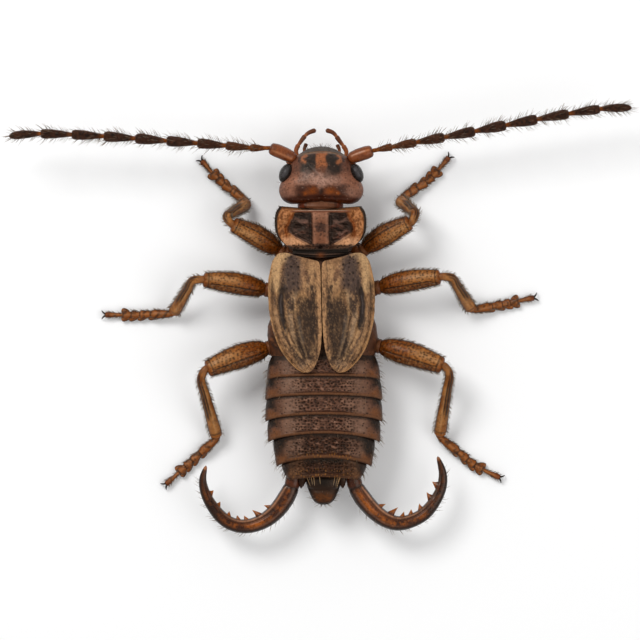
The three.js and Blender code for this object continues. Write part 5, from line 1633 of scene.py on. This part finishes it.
# %% [markdown]
# On the trunk the bristles sit where the real ones do: on the sides and rear corners of the rings, in a
# sparse row on each rear edge, along the shield's rim and on the front of the face. A few long pale ones
# hang over the end plate, and the pincers carry theirs on the outer side.

# %% Bristles of the trunk


def on_flanks(points, normal, along, around):
    """The sides of a ring, four times as many on its rear half, and a few on the rear edge."""
    side = step(np.abs(normal[:, 0]), 0.72, 0.9) * (0.25 + 0.75 * (along < 0.5))
    edge = 0.05 * band(along, 0.12, 0.3, 0.03) * step(normal[:, 2], 0.5, 0.8)
    return side + edge


def on_rim(points, normal, along, around):
    """The left and right edges of the shield."""
    return step(np.abs(points[:, 0]), 2.5, 2.66) * step(np.abs(normal[:, 0]), 0.5, 0.9)


def on_face(points, normal, along, around):
    """The front of the head and, much thinner, its cheeks."""
    front = step(points[:, 1], 10.3, 10.45) * step(normal[:, 1], 0.3, 0.7)
    cheek = 0.2 * step(np.abs(normal[:, 0]), 0.7, 0.9) * (points[:, 1] < 8.6)
    return front + cheek


def on_tail(points, normal, along, around):
    """The rim of the end plate towards its tip."""
    return fade(points[:, 1], -10.9, -10.5) * (0.15 + 0.85 * (1 - np.abs(normal[:, 2])))


def on_last_edge(points, normal, along, around):
    """The rear edge of the last ring, above the end plate."""
    return (np.abs(points[:, 0] - 0.12) < 1.1) * band(along, 0.16, 0.26, 0.02) * step(normal[:, 2], 0.5, 0.8)


coats = [
    (rings, 44, on_flanks, (0.26, 0.5), 0.85, -0.5, GREY_HAIR, 400 + k, 0.013)
    for k, rings in enumerate(abdomen_rings)
]
coats.append((abdomen_rings[5], 14, on_last_edge, (0.5, 0.66), 0.15, -1.6, PALE_HAIR, 410, 0.018))
coats.append((end_rings, 44, on_tail, (0.2, 0.42), 0.75, 0.4, GREY_HAIR, 411, 0.013))
coats.append((shield_rings, 90, on_rim, (0.1, 0.22), 0.9, 0.1, GREY_HAIR, 412, 0.012))
coats.append((skull, 40, on_face, (0.2, 0.38), 0.9, -0.3, GREY_HAIR, 413, 0.012))
add_coat("body_bristles", coats)


def on_outer_side(hand):
    """The side of a blade that faces away from its teeth, from near the root to near the tip."""

    def weigh(points, normal, along, around):
        """The weight for a blade whose teeth are on the given hand."""
        facing = -np.cos(2 * np.pi * around) * hand
        return step(facing, 0.55, 0.9) * band(along, 0.12, 0.92, 0.03)

    return weigh


coats = []
for k, (side, spec) in enumerate(PINCERS.items()):
    weigh = on_outer_side(spec["hand"])
    coats.append((pincer_blades[side], 55, weigh, (0.25, 0.5), 0.85, 0.5, GREY_HAIR, 420 + k, 0.014))
add_coat("pincer_bristles", coats)
